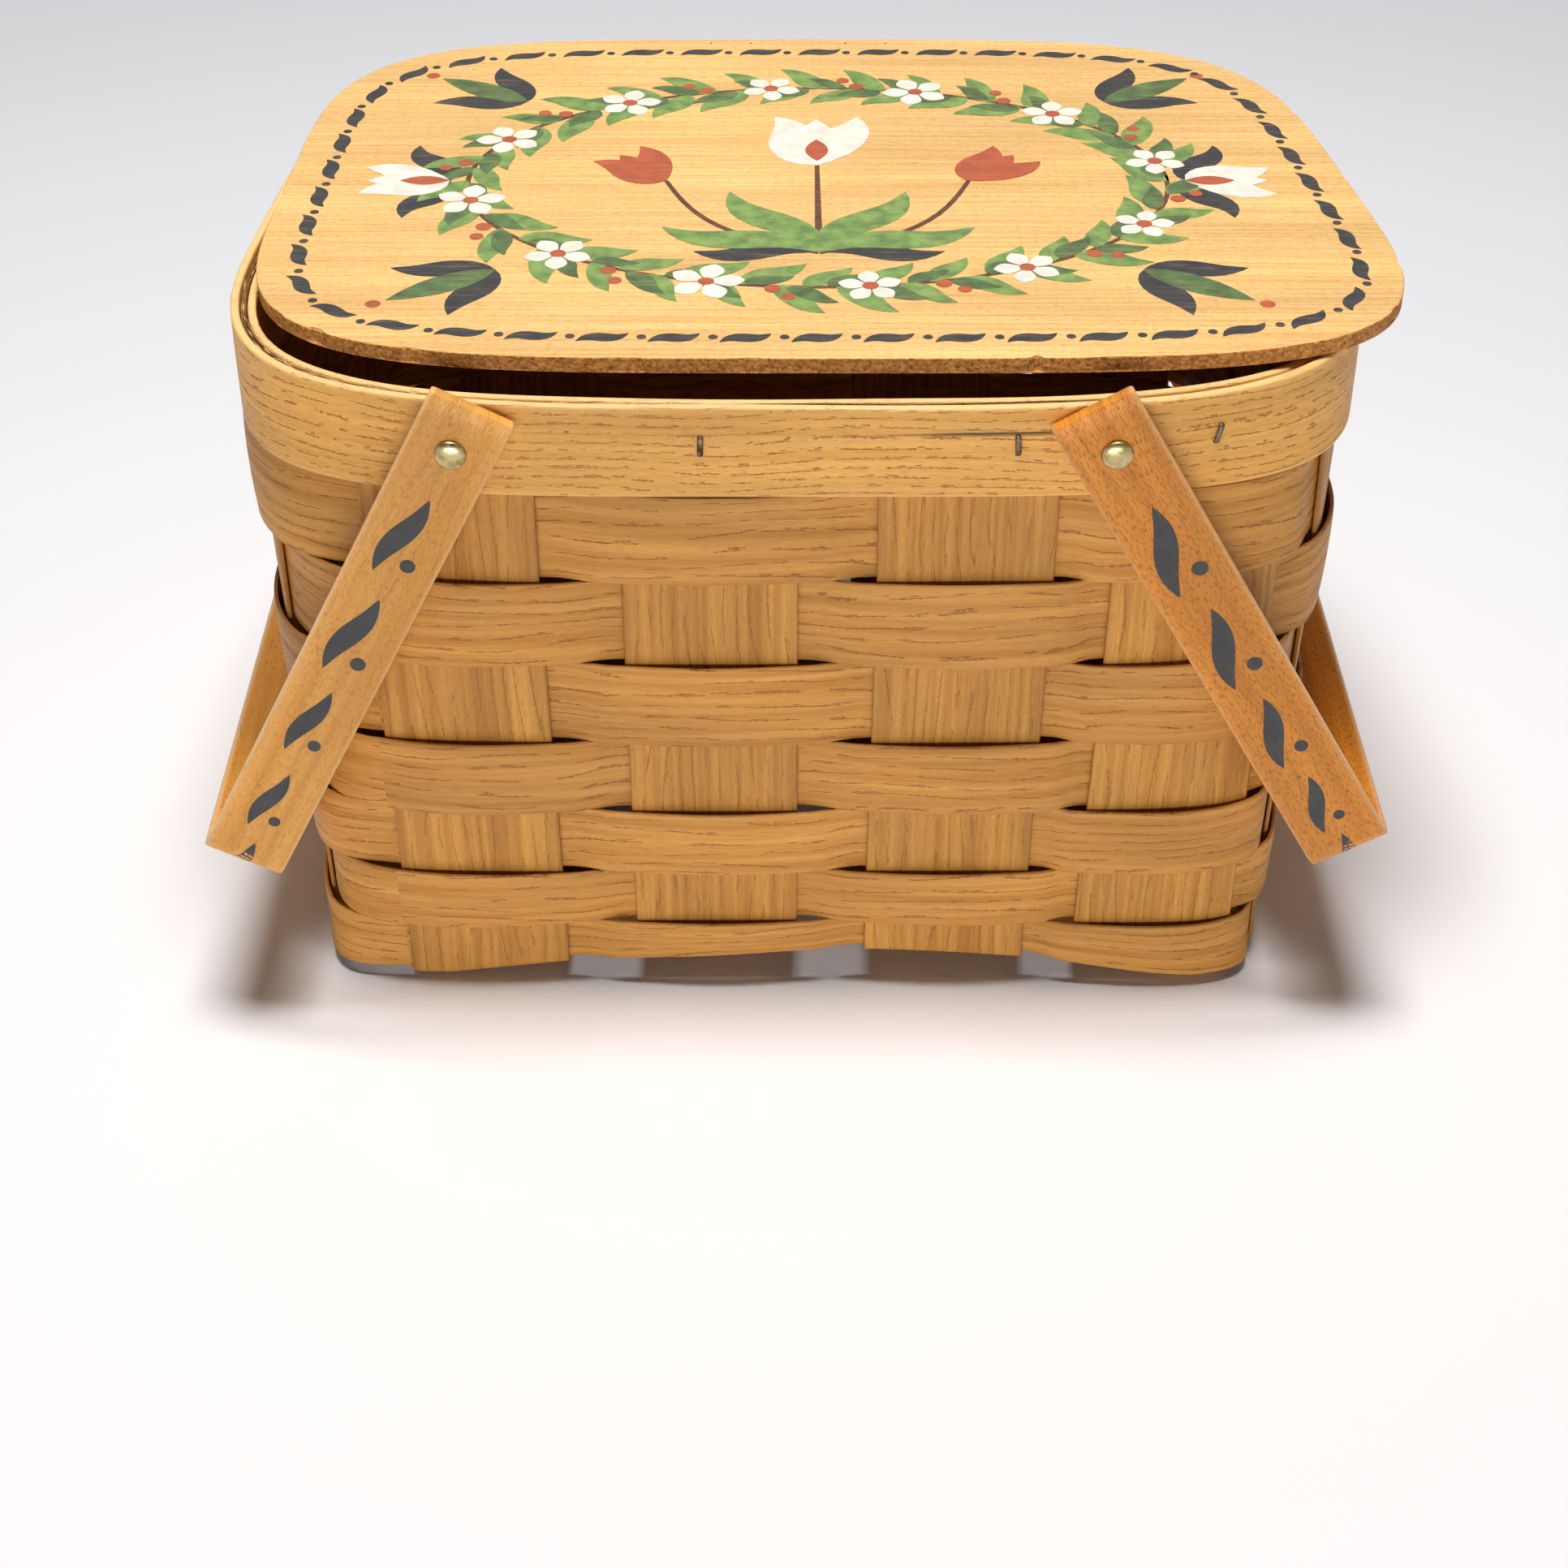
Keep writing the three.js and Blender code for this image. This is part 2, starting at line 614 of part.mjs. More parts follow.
// A knuckle: a short tube round the hinge axis between two places along it
function knuckle(from, to) {
  const tube = bar("x", KNUCKLE_RADIUS, from, to);
  const bore = bar("x", PIN_RADIUS + CLEARANCE, from - 1, to + 1);
  return cut(tube, [bore]).translate(0, axisY, axisZ);
}

// The middle third of the knuckle belongs to the rim leaf and the outer thirds to the lid leaf
const hingeThird = HINGE_WIDTH / 6;
const boreWall = axisY - (KNUCKLE_RADIUS + PIN_RADIUS + CLEARANCE) / 2;

function rimLeaf(x) {
  const plate = block([-hingeHalf, rimLeafInner, axisZ - RIM_LEAF_HEIGHT], [hingeHalf, rimLeafOuter, axisZ]);
  const third = hingeThird - CLEARANCE / 2;
  const web = block([-third, rimLeafInner, axisZ - LEAF_THICKNESS], [third, boreWall, axisZ]);
  const leaf = join([plate, web, knuckle(-third, third)]).translate(x, 0, 0);
  return cut(leaf, rimNailHoles);
}

function lidLeaf(x) {
  const front = lidNailY - LEAF_MARGIN;
  const back = axisY - KNUCKLE_RADIUS - CLEARANCE;
  const pieces = [block([-hingeHalf, front, lidLeafBottom], [hingeHalf, back, lidLeafTop])];
  const third = hingeThird + CLEARANCE / 2;
  for (const [from, to] of [[-hingeHalf, -third], [third, hingeHalf]]) {
    pieces.push(block([from, back - LEAF_THICKNESS, lidLeafBottom], [to, axisY, lidLeafTop]));
    pieces.push(knuckle(from, to));
  }
  return cut(join(pieces).translate(x, 0, 0), lidNailHoles);
}

// A nail along Z, head down, from the head's outer face to the tip
function nail(headFace, tip) {
  const profile = [
    [0, headFace],
    [NAIL_HEAD_RADIUS, headFace],
    [NAIL_HEAD_RADIUS, headFace + NAIL_HEAD_THICKNESS],
    [NAIL_RADIUS, headFace + NAIL_HEAD_THICKNESS],
    [NAIL_RADIUS, tip - NAIL_RADIUS],
    [0, tip],
  ];
  const points = profile.map(([r, h]) => new THREE.Vector2(r, h));
  return new THREE.LatheGeometry(points, 10).rotateX(Math.PI / 2);
}

// Stakes and weavers
longStakes.forEach((_, k) => addMesh(`long_stake_${k + 1}`, cut(longStake(k), rivetHoles), STAKE_WOOD));
crossStakes.forEach((_, k) => addMesh(`cross_stake_${k + 1}`, crossStake(k), STAKE_WOOD));
ROW_SHARES.forEach((_, row) => addMesh(`weaver_row_${row + 1}`, weaver(row), WEAVER_WOOD));

// Rim bands, filler and staples
const staplePlaces = STAPLES.map(staplePlace);
const stapleCutters = staplePlaces.flatMap((place) => stapleHoles().map((hole) => hole.applyMatrix4(place)));
const outerBand = hoop(BAND_BOTTOM, RIM_TOP, BAND_SEAT, BAND_FACE);
addMesh("rim_outer_band", cut(outerBand, [...rivetHoles, ...stapleCutters, ...rimNailHoles]), RIM_WOOD);
const innerTop = RIM_TOP - INNER_BAND_DROP;
const innerBand = hoop(innerTop - INNER_BAND_HEIGHT, innerTop, -BAND_FACE, -BAND_SEAT);
addMesh("rim_inner_band", cut(innerBand, rivetHoles), RIM_WOOD);
const fillerTop = RIM_TOP - FILLER_DROP;
const fillerHalf = BAND_SEAT - CLEARANCE;
addMesh("rim_filler", hoop(fillerTop - FILLER_HEIGHT, fillerTop, -fillerHalf, fillerHalf), STAKE_WOOD);
staplePlaces.forEach((place, k) => {
  addMesh(`rim_staple_${k + 1}`, stapleGeometry().applyMatrix4(place), STEEL);
});

// Handles: a bent strip with a long front leg, a cross piece and a back leg, drawn from the side
function handleGeometry() {
  const bendZ = HANDLE_BEND - HANDLE_REACH;
  const bendY = legOuter - HANDLE_BEND;
  const innerBend = HANDLE_BEND - HANDLE_THICKNESS;
  const strip = new THREE.Shape();
  strip.moveTo(-legOuter, FRONT_TAIL);
  strip.absarc(-bendY, bendZ, HANDLE_BEND, Math.PI, 1.5 * Math.PI, false);
  strip.absarc(bendY, bendZ, HANDLE_BEND, 1.5 * Math.PI, 2 * Math.PI, false);
  strip.lineTo(legOuter, BACK_TAIL);
  strip.lineTo(legInner, BACK_TAIL);
  strip.absarc(bendY, bendZ, innerBend, 2 * Math.PI, 1.5 * Math.PI, true);
  strip.absarc(-bendY, bendZ, innerBend, 1.5 * Math.PI, Math.PI, true);
  strip.lineTo(-legInner, FRONT_TAIL);
  strip.closePath();
  const geometry = new THREE.ExtrudeGeometry(strip, {
    depth: HANDLE_WIDTH - 2 * HANDLE_EDGE,
    bevelSize: HANDLE_EDGE,
    bevelOffset: -HANDLE_EDGE,
    bevelThickness: HANDLE_EDGE,
    bevelSegments: 1,
    curveSegments: 6,
  });
  geometry.translate(0, 0, HANDLE_EDGE - HANDLE_WIDTH / 2);
  const sideways = new THREE.Matrix4().makeBasis(
    new THREE.Vector3(0, 1, 0),
    new THREE.Vector3(0, 0, 1),
    new THREE.Vector3(1, 0, 0),
  );
  geometry.applyMatrix4(sideways);
  return cut(geometry, [bar("y", HOLE_RADIUS, -legOuter - 1, legOuter + 1)]);
}

// At rest each handle hangs with the inner corner of its cross piece by the fullest part of the wall
function gapToWall(side, angle) {
  const corner = new THREE.Vector2(-HANDLE_WIDTH / 2, HANDLE_THICKNESS - HANDLE_REACH);
  corner.rotateAround(new THREE.Vector2(), angle);
  const z = PIVOT_Z + corner.y;
  const weaverFace = WEAVER_OFFSET + WEAVER_CROWN + SPLINT / 2;
  const fullest = baseStakes.map((_, k) => Math.abs(roundPoint(z, stakeCentre(k, z), weaverFace).x));
  return Math.abs(pivotX(side)) + corner.x - Math.max(...fullest);
}

function restAngle(side) {
  let [low, high] = [0, Math.PI / 2];
  for (let i = 0; i < 40; i += 1) {
    const middle = (low + high) / 2;
    if (gapToWall(side, middle) < HANDLE_OFF_WALL) low = middle;
    else high = middle;
  }
  return high;
}

for (const [name, side] of [["handle_left", -1], ["handle_right", 1]]) {
  const pivot = new THREE.Group();
  pivot.position.set(pivotX(side), 0, PIVOT_Z);
  pivot.rotation.y = -side * restAngle(side);
  addMesh(name, handleGeometry(), HANDLE_WOOD, pivot);
  basket.add(pivot);
}

// Rivets with a domed head outside and a burr inside, and washers shaped to the rim
function rivetGeometry(sideX) {
  const outermost = Math.abs(pivotX(sideX)) + BURR_RADIUS;
  const inside = Math.min(...faceDepths(outermost, PIVOT_Z, -BAND_FACE)) - CLEARANCE;
  const underHead = legOuter + CLEARANCE;
  const profile = [
    [0, inside - BURR_THICKNESS],
    [BURR_RADIUS, inside - BURR_THICKNESS],
    [BURR_RADIUS, inside],
    [RIVET_SHANK_RADIUS, inside],
    [RIVET_SHANK_RADIUS, underHead],
    [RIVET_HEAD_RADIUS, underHead],
  ].map(([r, h]) => new THREE.Vector2(r, h));
  const domeSteps = 4;
  for (let i = 1; i <= domeSteps; i += 1) {
    const turn = (i / domeSteps) * (Math.PI / 2);
    const r = i < domeSteps ? RIVET_HEAD_RADIUS * Math.cos(turn) : 0;
    profile.push(new THREE.Vector2(r, underHead + RIVET_HEAD_RISE * Math.sin(turn)));
  }
  return new THREE.LatheGeometry(profile, 12);
}

const washerSeat = hoop(BAND_BOTTOM, RIM_TOP, -BAND_FACE, BAND_FACE + CLEARANCE);

function washerGeometry(sideX, sideY) {
  const inside = faceDepth(Math.abs(pivotX(sideX)) + WASHER_RADIUS, PIVOT_Z, BAND_SEAT, sideY);
  const outside = legInner - CLEARANCE;
  const place = (geometry) => {
    return geometry.rotateZ(sideY < 0 ? Math.PI : 0).translate(pivotX(sideX), 0, PIVOT_Z);
  };
  const blank = place(bar("y", WASHER_RADIUS, inside, outside));
  return cut(blank, [place(bar("y", HOLE_RADIUS, inside - CLEARANCE, legInner)), washerSeat]);
}

for (const [corner, sideX, sideY] of CORNERS) {
  const rivet = rivetGeometry(sideX).rotateZ(sideY < 0 ? Math.PI : 0);
  addMesh(`rivet_${corner}`, rivet.translate(pivotX(sideX), 0, PIVOT_Z), BRASS);
  addMesh(`rivet_washer_${corner}`, washerGeometry(sideX, sideY), BRASS);
}

// Lid, a little wider at the front, set over to the right and hung by its back edge
const lidForm = {
  a: RIM_LENGTH / 2 + LID_END_OVERHANG,
  b: (RIM_DEPTH - LID_FRONT_INSET - LID_BACK_INSET) / 2,
  n: LID_ROUNDNESS,
  taper: LID_TAPER,
};
const lidY = (LID_FRONT_INSET - LID_BACK_INSET) / 2;
const lidShape = new THREE.Shape(ringAngles(lidForm).map((angle) => {
  const p = superellipse(lidForm, angle);
  return new THREE.Vector2(p.x + LID_SKEW * p.y + LID_SHIFT_X, p.y + lidY);
}));
for (const x of nailXs) {
  lidShape.holes.push(new THREE.Path().absarc(x, lidNailY, NAIL_HOLE_RADIUS, 0, 2 * Math.PI, true));
}
const lidBoard = new THREE.ExtrudeGeometry(lidShape, {
  depth: LID_THICKNESS,
  bevelEnabled: false,
  curveSegments: 6,
});
addMesh("lid", lidBoard.translate(0, 0, lidBottom), LID_BOARD);

// Hinges and their nails
HINGES.forEach((x, k) => {
  addMesh(`hinge_rim_leaf_${k + 1}`, rimLeaf(x), STEEL);
  addMesh(`hinge_lid_leaf_${k + 1}`, lidLeaf(x), STEEL);
  const pin = bar("x", PIN_RADIUS, x - hingeHalf, x + hingeHalf);
  addMesh(`hinge_pin_${k + 1}`, pin.translate(0, axisY, axisZ), STEEL);
});
nailXs.forEach((x, k) => {
  const lidNail = nail(lidLeafBottom - CLEARANCE - NAIL_HEAD_THICKNESS, lidBottom + LID_THICKNESS + NAIL_TIP);
  addMesh(`lid_nail_${k + 1}`, lidNail.translate(x, lidNailY, 0), STEEL);
  const rimNail = nail(-rimLeafOuter - CLEARANCE - NAIL_HEAD_THICKNESS, RIM_NAIL_BITE - rimBack);
  addMesh(`rim_nail_${k + 1}`, rimNail.rotateX(Math.PI / 2).translate(x, 0, rimNailZ), STEEL);
});

export default basket;
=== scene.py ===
import math

import bpy
import numpy as np
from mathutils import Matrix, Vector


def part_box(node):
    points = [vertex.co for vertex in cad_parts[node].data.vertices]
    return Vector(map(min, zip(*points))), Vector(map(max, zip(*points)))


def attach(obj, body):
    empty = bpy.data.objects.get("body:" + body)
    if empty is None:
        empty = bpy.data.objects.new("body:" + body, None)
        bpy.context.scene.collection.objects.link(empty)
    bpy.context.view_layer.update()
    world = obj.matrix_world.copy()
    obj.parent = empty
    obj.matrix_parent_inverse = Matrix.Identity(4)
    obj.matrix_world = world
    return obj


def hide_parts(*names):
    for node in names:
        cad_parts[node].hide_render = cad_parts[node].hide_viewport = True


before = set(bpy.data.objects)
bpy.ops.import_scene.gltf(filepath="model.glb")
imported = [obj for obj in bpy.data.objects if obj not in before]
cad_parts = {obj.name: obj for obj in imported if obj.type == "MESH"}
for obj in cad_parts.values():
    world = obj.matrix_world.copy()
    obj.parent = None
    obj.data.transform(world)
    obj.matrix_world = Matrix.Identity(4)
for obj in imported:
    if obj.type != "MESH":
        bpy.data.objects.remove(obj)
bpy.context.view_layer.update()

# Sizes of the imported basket, in millimetres
RIM_LENGTH, RIM_DEPTH, RIM_TOP = 403.0, 314.0, 272.0
RIM_ROUNDNESS, RIM_TAPER = 3.7, 0.07
BASE_LENGTH, BASE_DEPTH, BASE_ROUNDNESS = 375.0, 276.0, 15.0
BASE_RISE, BASE_RISE_HEIGHT, BASE_FLAT_LEFT, BASE_FLAT_RIGHT = 12.5, 40.0, 49.5, 29.5
SPLINT, WEAVE_CLEARANCE = 1.6, 0.6
STAKE_WIDTH, STAKE_BEND = 63.0, 4.5
LEFT_MARGIN, RIGHT_MARGIN, FRONT_MARGIN = 34.0, 14.0, 22.0
LONG_STAKE_SHIFTS = (0.0, 3.0, 5.0, 0.0)
CROSS_STAKES = 3
ROW_SHARES = (38.0, 37.0, 36.5, 33.5, 31.0, 28.0, 26.5)
ROW_GAP, LAST_ROW_SINK = 0.4, 2.0
WEAVER_CROWN, WEAVER_LAP = 1.8, 1.5
BAND_HEIGHT, BAND_THICKNESS = 36.0, 3.2
INNER_BAND_HEIGHT, INNER_BAND_DROP = 32.0, 1.0
FILLER_HEIGHT, FILLER_DROP, SLOT_CLEARANCE = 5.0, 1.5, 0.3
STAPLES = (("front", -33, 2), ("front", 75, -3), ("front", 143, 14), ("right", 12, 4),
           ("back", 78, -5), ("back", 2, 3), ("back", -78, -2), ("left", -18, 6))
STAPLE_WIRE, STAPLE_WIRE_WIDTH, STAPLE_HEIGHT, STAPLE_BELOW_TOP = 1.2, 2.1, 8.0, 15.0
HANDLE_WIDTH, HANDLE_THICKNESS, HANDLE_REACH, HANDLE_BEND = 30.5, 5.0, 203.0, 10.0
FRONT_TAIL, BACK_TAIL, HANDLE_OFF_WALL = 19.0, 9.0, 0.6
RIVET_HEAD_RADIUS, RIVET_HEAD_RISE = 5.5, 2.6
LID_THICKNESS, LID_END_OVERHANG, LID_FRONT_INSET, LID_BACK_INSET = 6.0, 2.0, 21.0, 6.0
LID_ROUNDNESS, LID_TAPER, LID_SKEW, LID_SHIFT_X = 4.3, 0.062, -0.046, 8.3

# Radius of the eased edges, and how far the edge tone reaches in from an edge: wear on the rim and handles,
# painted shade on the weavers and stakes
SPLINT_EASE, BAND_EASE, FILLER_EASE, HANDLE_EASE, EDGE_WEAR_AND_SHADE = 0.5, 0.8, 0.2, 0.8, 2.0

# Places that follow from the sizes
MM = 0.001
STAKE_HALF = STAKE_WIDTH / 2
WEAVER_OFFSET = SPLINT + WEAVE_CLEARANCE
BAND_SEAT = SPLINT / 2 + WEAVE_CLEARANCE
BAND_FACE = BAND_SEAT + BAND_THICKNESS
BASE_PLANE = WEAVER_OFFSET + SPLINT / 2
BEND_TOP = BASE_PLANE + STAKE_BEND
BAND_BOTTOM = RIM_TOP - BAND_HEIGHT
STAKE_TOP = RIM_TOP - FILLER_DROP - FILLER_HEIGHT - SLOT_CLEARANCE
PIVOTS = {side: (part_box(f"rivet_front_{name}")[0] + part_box(f"rivet_front_{name}")[1]) / 2 / MM
          for side, name in ((-1, "left"), (1, "right"))}
PIVOT_Z = PIVOTS[1].z
LEG_OUTER = -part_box("handle_left")[0].y / MM
LID_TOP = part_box("lid")[1].z / MM
LONG_STAKES = len(LONG_STAKE_SHIFTS)
ALL_STAKES = 2 * (LONG_STAKES + CROSS_STAKES)


def mix(start, end, t):
    return start + (end - start) * t


def lengths_along(points):
    """The distance from the first point of a line to each of its points, along it."""
    steps = np.linalg.norm(np.diff(points, axis=0), axis=1)
    return np.concatenate([[0], np.cumsum(steps)])


# Objects, meshes and nodes

def make_object(name, data):
    made = bpy.data.objects.new(name, data)
    bpy.context.scene.collection.objects.link(made)
    return made


def new_mesh(name, points, faces=(), edges=(), unit=MM, smooth=False):
    """A mesh from points in millimetres; with unit 1 it stays in millimetres until it is laid in place."""
    mesh = bpy.data.meshes.new(name)
    mesh.from_pydata(np.array(points, float) * unit, edges, faces)
    if smooth:
        mesh.polygons.foreach_set("use_smooth", np.ones(len(mesh.polygons), bool))
    return mesh


def points_of(mesh):
    flat = np.zeros(len(mesh.vertices) * 3)
    mesh.vertices.foreach_get("co", flat)
    return flat.reshape(-1, 3)


def move_points(mesh, places):
    """Puts each point of a mesh at its place, given in millimetres."""
    mesh.vertices.foreach_set("co", np.ravel(places * MM).astype(np.float32))
    mesh.update()


def add_node(tree, kind, links=None, **settings):
    """One node: its settings, then each input as a value or a link from a socket or a node's first output."""
    made = tree.nodes.new(kind)
    for key, value in settings.items():
        setattr(made, key, value)
    for socket, source in (links or {}).items():
        if isinstance(source, bpy.types.Node):
            source = source.outputs[0]
        if isinstance(source, bpy.types.NodeSocket):
            tree.links.new(source, made.inputs[socket])
        else:
            made.inputs[socket].default_value = source
    return made


def new_geometry_tree(name, inputs):
    """An empty Geometry Nodes tree with its group input and output, and the sizes it can be given."""
    tree = bpy.data.node_groups.new(name, "GeometryNodeTree")
    tree.is_modifier = True
    tree.interface.new_socket("Geometry", in_out="INPUT", socket_type="NodeSocketGeometry")
    for label, kind in inputs:
        tree.interface.new_socket(label, in_out="INPUT", socket_type=kind)
    tree.interface.new_socket("Geometry", in_out="OUTPUT", socket_type="NodeSocketGeometry")
    return tree, tree.nodes.new("NodeGroupInput").outputs, tree.nodes.new("NodeGroupOutput")


def end_tree(tree, geometry, material, result):
    """The end of each tree: its copies made real, with their material."""
    real = add_node(tree, "GeometryNodeRealizeInstances", {"Geometry": geometry})
    coated = add_node(tree, "GeometryNodeSetMaterial", {"Geometry": real, "Material": material})
    tree.links.new(coated.outputs[0], result.inputs[0])
    return tree


def run_tree(piece, tree, values):
    """Runs a Geometry Nodes tree on a piece and keeps the result as its plain mesh."""
    modifier = piece.modifiers.new(tree.name, "NODES")
    modifier.node_group = tree
    for item in tree.interface.items_tree:
        if item.in_out == "INPUT" and item.name in values:
            modifier[item.identifier] = values[item.name]
    graph = bpy.context.evaluated_depsgraph_get()
    result = bpy.data.meshes.new_from_object(piece.evaluated_get(graph), depsgraph=graph)
    piece.modifiers.remove(modifier)
    spare = piece.data
    piece.data = result
    result.name = piece.name
    if spare.users == 0:
        bpy.data.meshes.remove(spare)
    return piece


def set_float_attribute(mesh, name, kind, values):
    field = "vector" if kind == "FLOAT_VECTOR" else "value"
    mesh.attributes.new(name, kind, "POINT").data.foreach_set(field, np.ravel(values).astype(np.float32))


# Materials: in a Mix of colours, inputs 6 and 7 are the two colours and output 2 is the result

def srgb(code):
    """A hex colour as the linear RGBA that Blender's nodes take."""
    channels = [int(code[k:k + 2], 16) / 255 for k in (1, 3, 5)]
    return [c / 12.92 if c <= 0.04045 else ((c + 0.055) / 1.055) ** 2.4 for c in channels] + [1.0]


def new_material(name, **constants):
    """A material with a Principled shader whose constant values are set on its own sockets."""
    material = bpy.data.materials.new(name)
    material.use_nodes = True
    tree = material.node_tree
    shader = tree.nodes["Principled BSDF"]
    for socket, value in constants.items():
        shader.inputs[socket.replace("_", " ")].default_value = value
    return material, tree, shader


# Half the width of a drawn pore line, in millimetres: a little wider than a real one, so that it shows
PORE_HALF_WIDTH = 0.22
# Dark brown painted shade inside the crack in the rim
CRACK_SHADE = "#1E1006"


def wood(name, tones, edge_amount, streak, ring, dash, pore_amount, tick_amount, roughness):
    """Ring-porous wood on the grain map, whose units are millimetres along and across the grain.

    tones are the light and dark streaks, the pores and the edge tone: pale wear on the rim and handles,
    darker on the weavers and stakes as painted shade where splints meet. streak is the length and width
    of the tone streaks, ring the distance between growth rings, dash the usual length of an open pore
    line on a ring.
    """
    light, dark, pore, worn = [srgb(code) for code in tones]
    material, tree, shader = new_material(name)
    grain = add_node(tree, "ShaderNodeUVMap", uv_map="grain").outputs["UV"]

    def grain_noise(length, width, detail, source=grain):
        """Noise that is as long and wide as given, along and across the grain."""
        scaled = add_node(tree, "ShaderNodeVectorMath", {0: source, 1: (1 / length, 1 / width, 1)},
                          operation="MULTIPLY")
        return add_node(tree, "ShaderNodeTexNoise", {"Vector": scaled, "Scale": 1.0, "Detail": detail},
                        noise_dimensions="2D")

    def tinted(colour, mask, amount, tone):
        """A colour with a tone laid over it where the mask says, as strongly as amount."""
        share = add_node(tree, "ShaderNodeMath", {0: mask, 1: amount}, operation="MULTIPLY")
        return add_node(tree, "ShaderNodeMix", {0: share, 6: colour, 7: tone}, data_type="RGBA").outputs[2]

    # Long streaks of tone, and slow changes of shade
    streaks = grain_noise(*streak, 3.0)
    tone = add_node(tree, "ShaderNodeMapRange", {0: streaks, 1: 0.3, 2: 0.7})
    colour = add_node(tree, "ShaderNodeMix", {0: tone, 6: dark, 7: light}, data_type="RGBA").outputs[2]
    slow = grain_noise(170.0, 26.0, 1.0)
    shade = add_node(tree, "ShaderNodeMapRange", {0: slow, 1: 0.25, 2: 0.75, 3: 0.86, 4: 1.1})
    colour = add_node(tree, "ShaderNodeVectorMath", {0: colour, 1: shade}, operation="MULTIPLY")

    # Growth rings wander across the splint, and pores open along them in ragged dashes
    parts = add_node(tree, "ShaderNodeSeparateXYZ", {0: grain})
    across = parts.outputs["Y"]
    for waver, amount in ((grain_noise(90.0, 30.0, 1.0), 2.6 * ring), (grain_noise(1.8, 0.6, 1.0), 0.9)):
        across = add_node(tree, "ShaderNodeMath", {0: waver, 1: amount, 2: across}, operation="MULTIPLY_ADD")
    rings = add_node(tree, "ShaderNodeMath", {0: across, 1: ring}, operation="DIVIDE")
    number = add_node(tree, "ShaderNodeMath", {0: rings}, operation="FLOOR")
    place = add_node(tree, "ShaderNodeMath", {0: rings}, operation="FRACT")
    on_ring = add_node(tree, "ShaderNodeCombineXYZ", {0: parts.outputs["X"], 1: number})
    half_line = PORE_HALF_WIDTH / ring

    def pore_line(at, length, row_step, closed):
        """Dashes along one line of each ring; noise above closed opens them."""
        off_line = add_node(tree, "ShaderNodeMath", {0: place, 1: at}, operation="SUBTRACT")
        off_line = add_node(tree, "ShaderNodeMath", {0: off_line}, operation="ABSOLUTE")
        line = add_node(tree, "ShaderNodeMapRange", {
            0: off_line, 1: half_line * 0.35, 2: half_line * 1.3, 3: 1.0, 4: 0.0})
        opening = grain_noise(length, row_step, 1.0, on_ring)
        dashes = add_node(tree, "ShaderNodeMapRange", {0: opening, 1: closed, 2: closed + 0.07})
        return add_node(tree, "ShaderNodeMath", {0: line, 1: dashes}, operation="MULTIPLY")

    main_line = pore_line(0.5, dash, 0.29, 0.44)
    side_line = pore_line(0.5 + 0.7 / ring, 0.5 * dash, 0.37, 0.57)
    pores = add_node(tree, "ShaderNodeMath", {0: main_line, 1: side_line}, operation="MAXIMUM")
    colour = tinted(colour, pores, pore_amount, pore)

    # Short fine vessels between the rings
    vessels = grain_noise(min(5.0, 0.5 * dash), 0.5, 0.0)
    ticks = add_node(tree, "ShaderNodeMapRange", {0: vessels, 1: 0.6, 2: 0.72})
    colour = tinted(colour, ticks, tick_amount, pore)

    # Edges take another tone, pale wear on the rim and handles and darker painted shade where splints meet on
    # the weavers and stakes; a crack is painted dark as the shade inside it
    for mark, amount, tone in (("edge", edge_amount, worn), ("split", 1.0, srgb(CRACK_SHADE))):
        marked = add_node(tree, "ShaderNodeAttribute", attribute_name=mark).outputs["Fac"]
        colour = tinted(colour, marked, amount, tone)
    tree.links.new(colour, shader.inputs["Base Color"])

    gloss = add_node(tree, "ShaderNodeMapRange", {
        0: streaks, 1: 0.3, 2: 0.7, 3: roughness + 0.08, 4: roughness - 0.06})
    tree.links.new(gloss.outputs[0], shader.inputs["Roughness"])
    relief = streaks
    for hollow, depth in ((pores, -1.0), (ticks, -0.4)):
        relief = add_node(tree, "ShaderNodeMath", {0: hollow, 1: depth, 2: relief}, operation="MULTIPLY_ADD")
    bump = add_node(tree, "ShaderNodeBump", {"Strength": 0.5, "Distance": 0.4 * MM, "Height": relief})
    tree.links.new(bump.outputs[0], shader.inputs["Normal"])
    return material


# Split ash, planed and oiled: tan, with rows of open brown pore dashes along the splint; its edges are
# darkened as painted shade between the rows
ASH_WEAVER = wood("ash_weaver_splint", ("#E0A048", "#C68632", "#98571A", "#8A5420"), edge_amount=0.35,
                  streak=(140, 4.2), ring=5.6, dash=19.0, pore_amount=0.95, tick_amount=0.12, roughness=0.55)
# The stakes are cut across the rings: streaky, with thin pore lines; their edges are darkened as painted
# shade beside the weavers
ASH_STAKE = wood("ash_stake_splint", ("#DC9E42", "#C0802E", "#7E4710", "#7A4A1C"), edge_amount=0.38,
                 streak=(260, 3.2), ring=5.2, dash=26.0, pore_amount=0.5, tick_amount=0.14, roughness=0.55)
# Thicker ash for the rim, rubbed smooth and yellower, raw and pale where it is cut
ASH_RIM = wood("ash_rim_band", ("#FABC60", "#EAA94D", "#A2601C", "#FBD090"), edge_amount=0.7,
               streak=(180, 3.0), ring=3.7, dash=10.0, pore_amount=0.9, tick_amount=0.14, roughness=0.5)
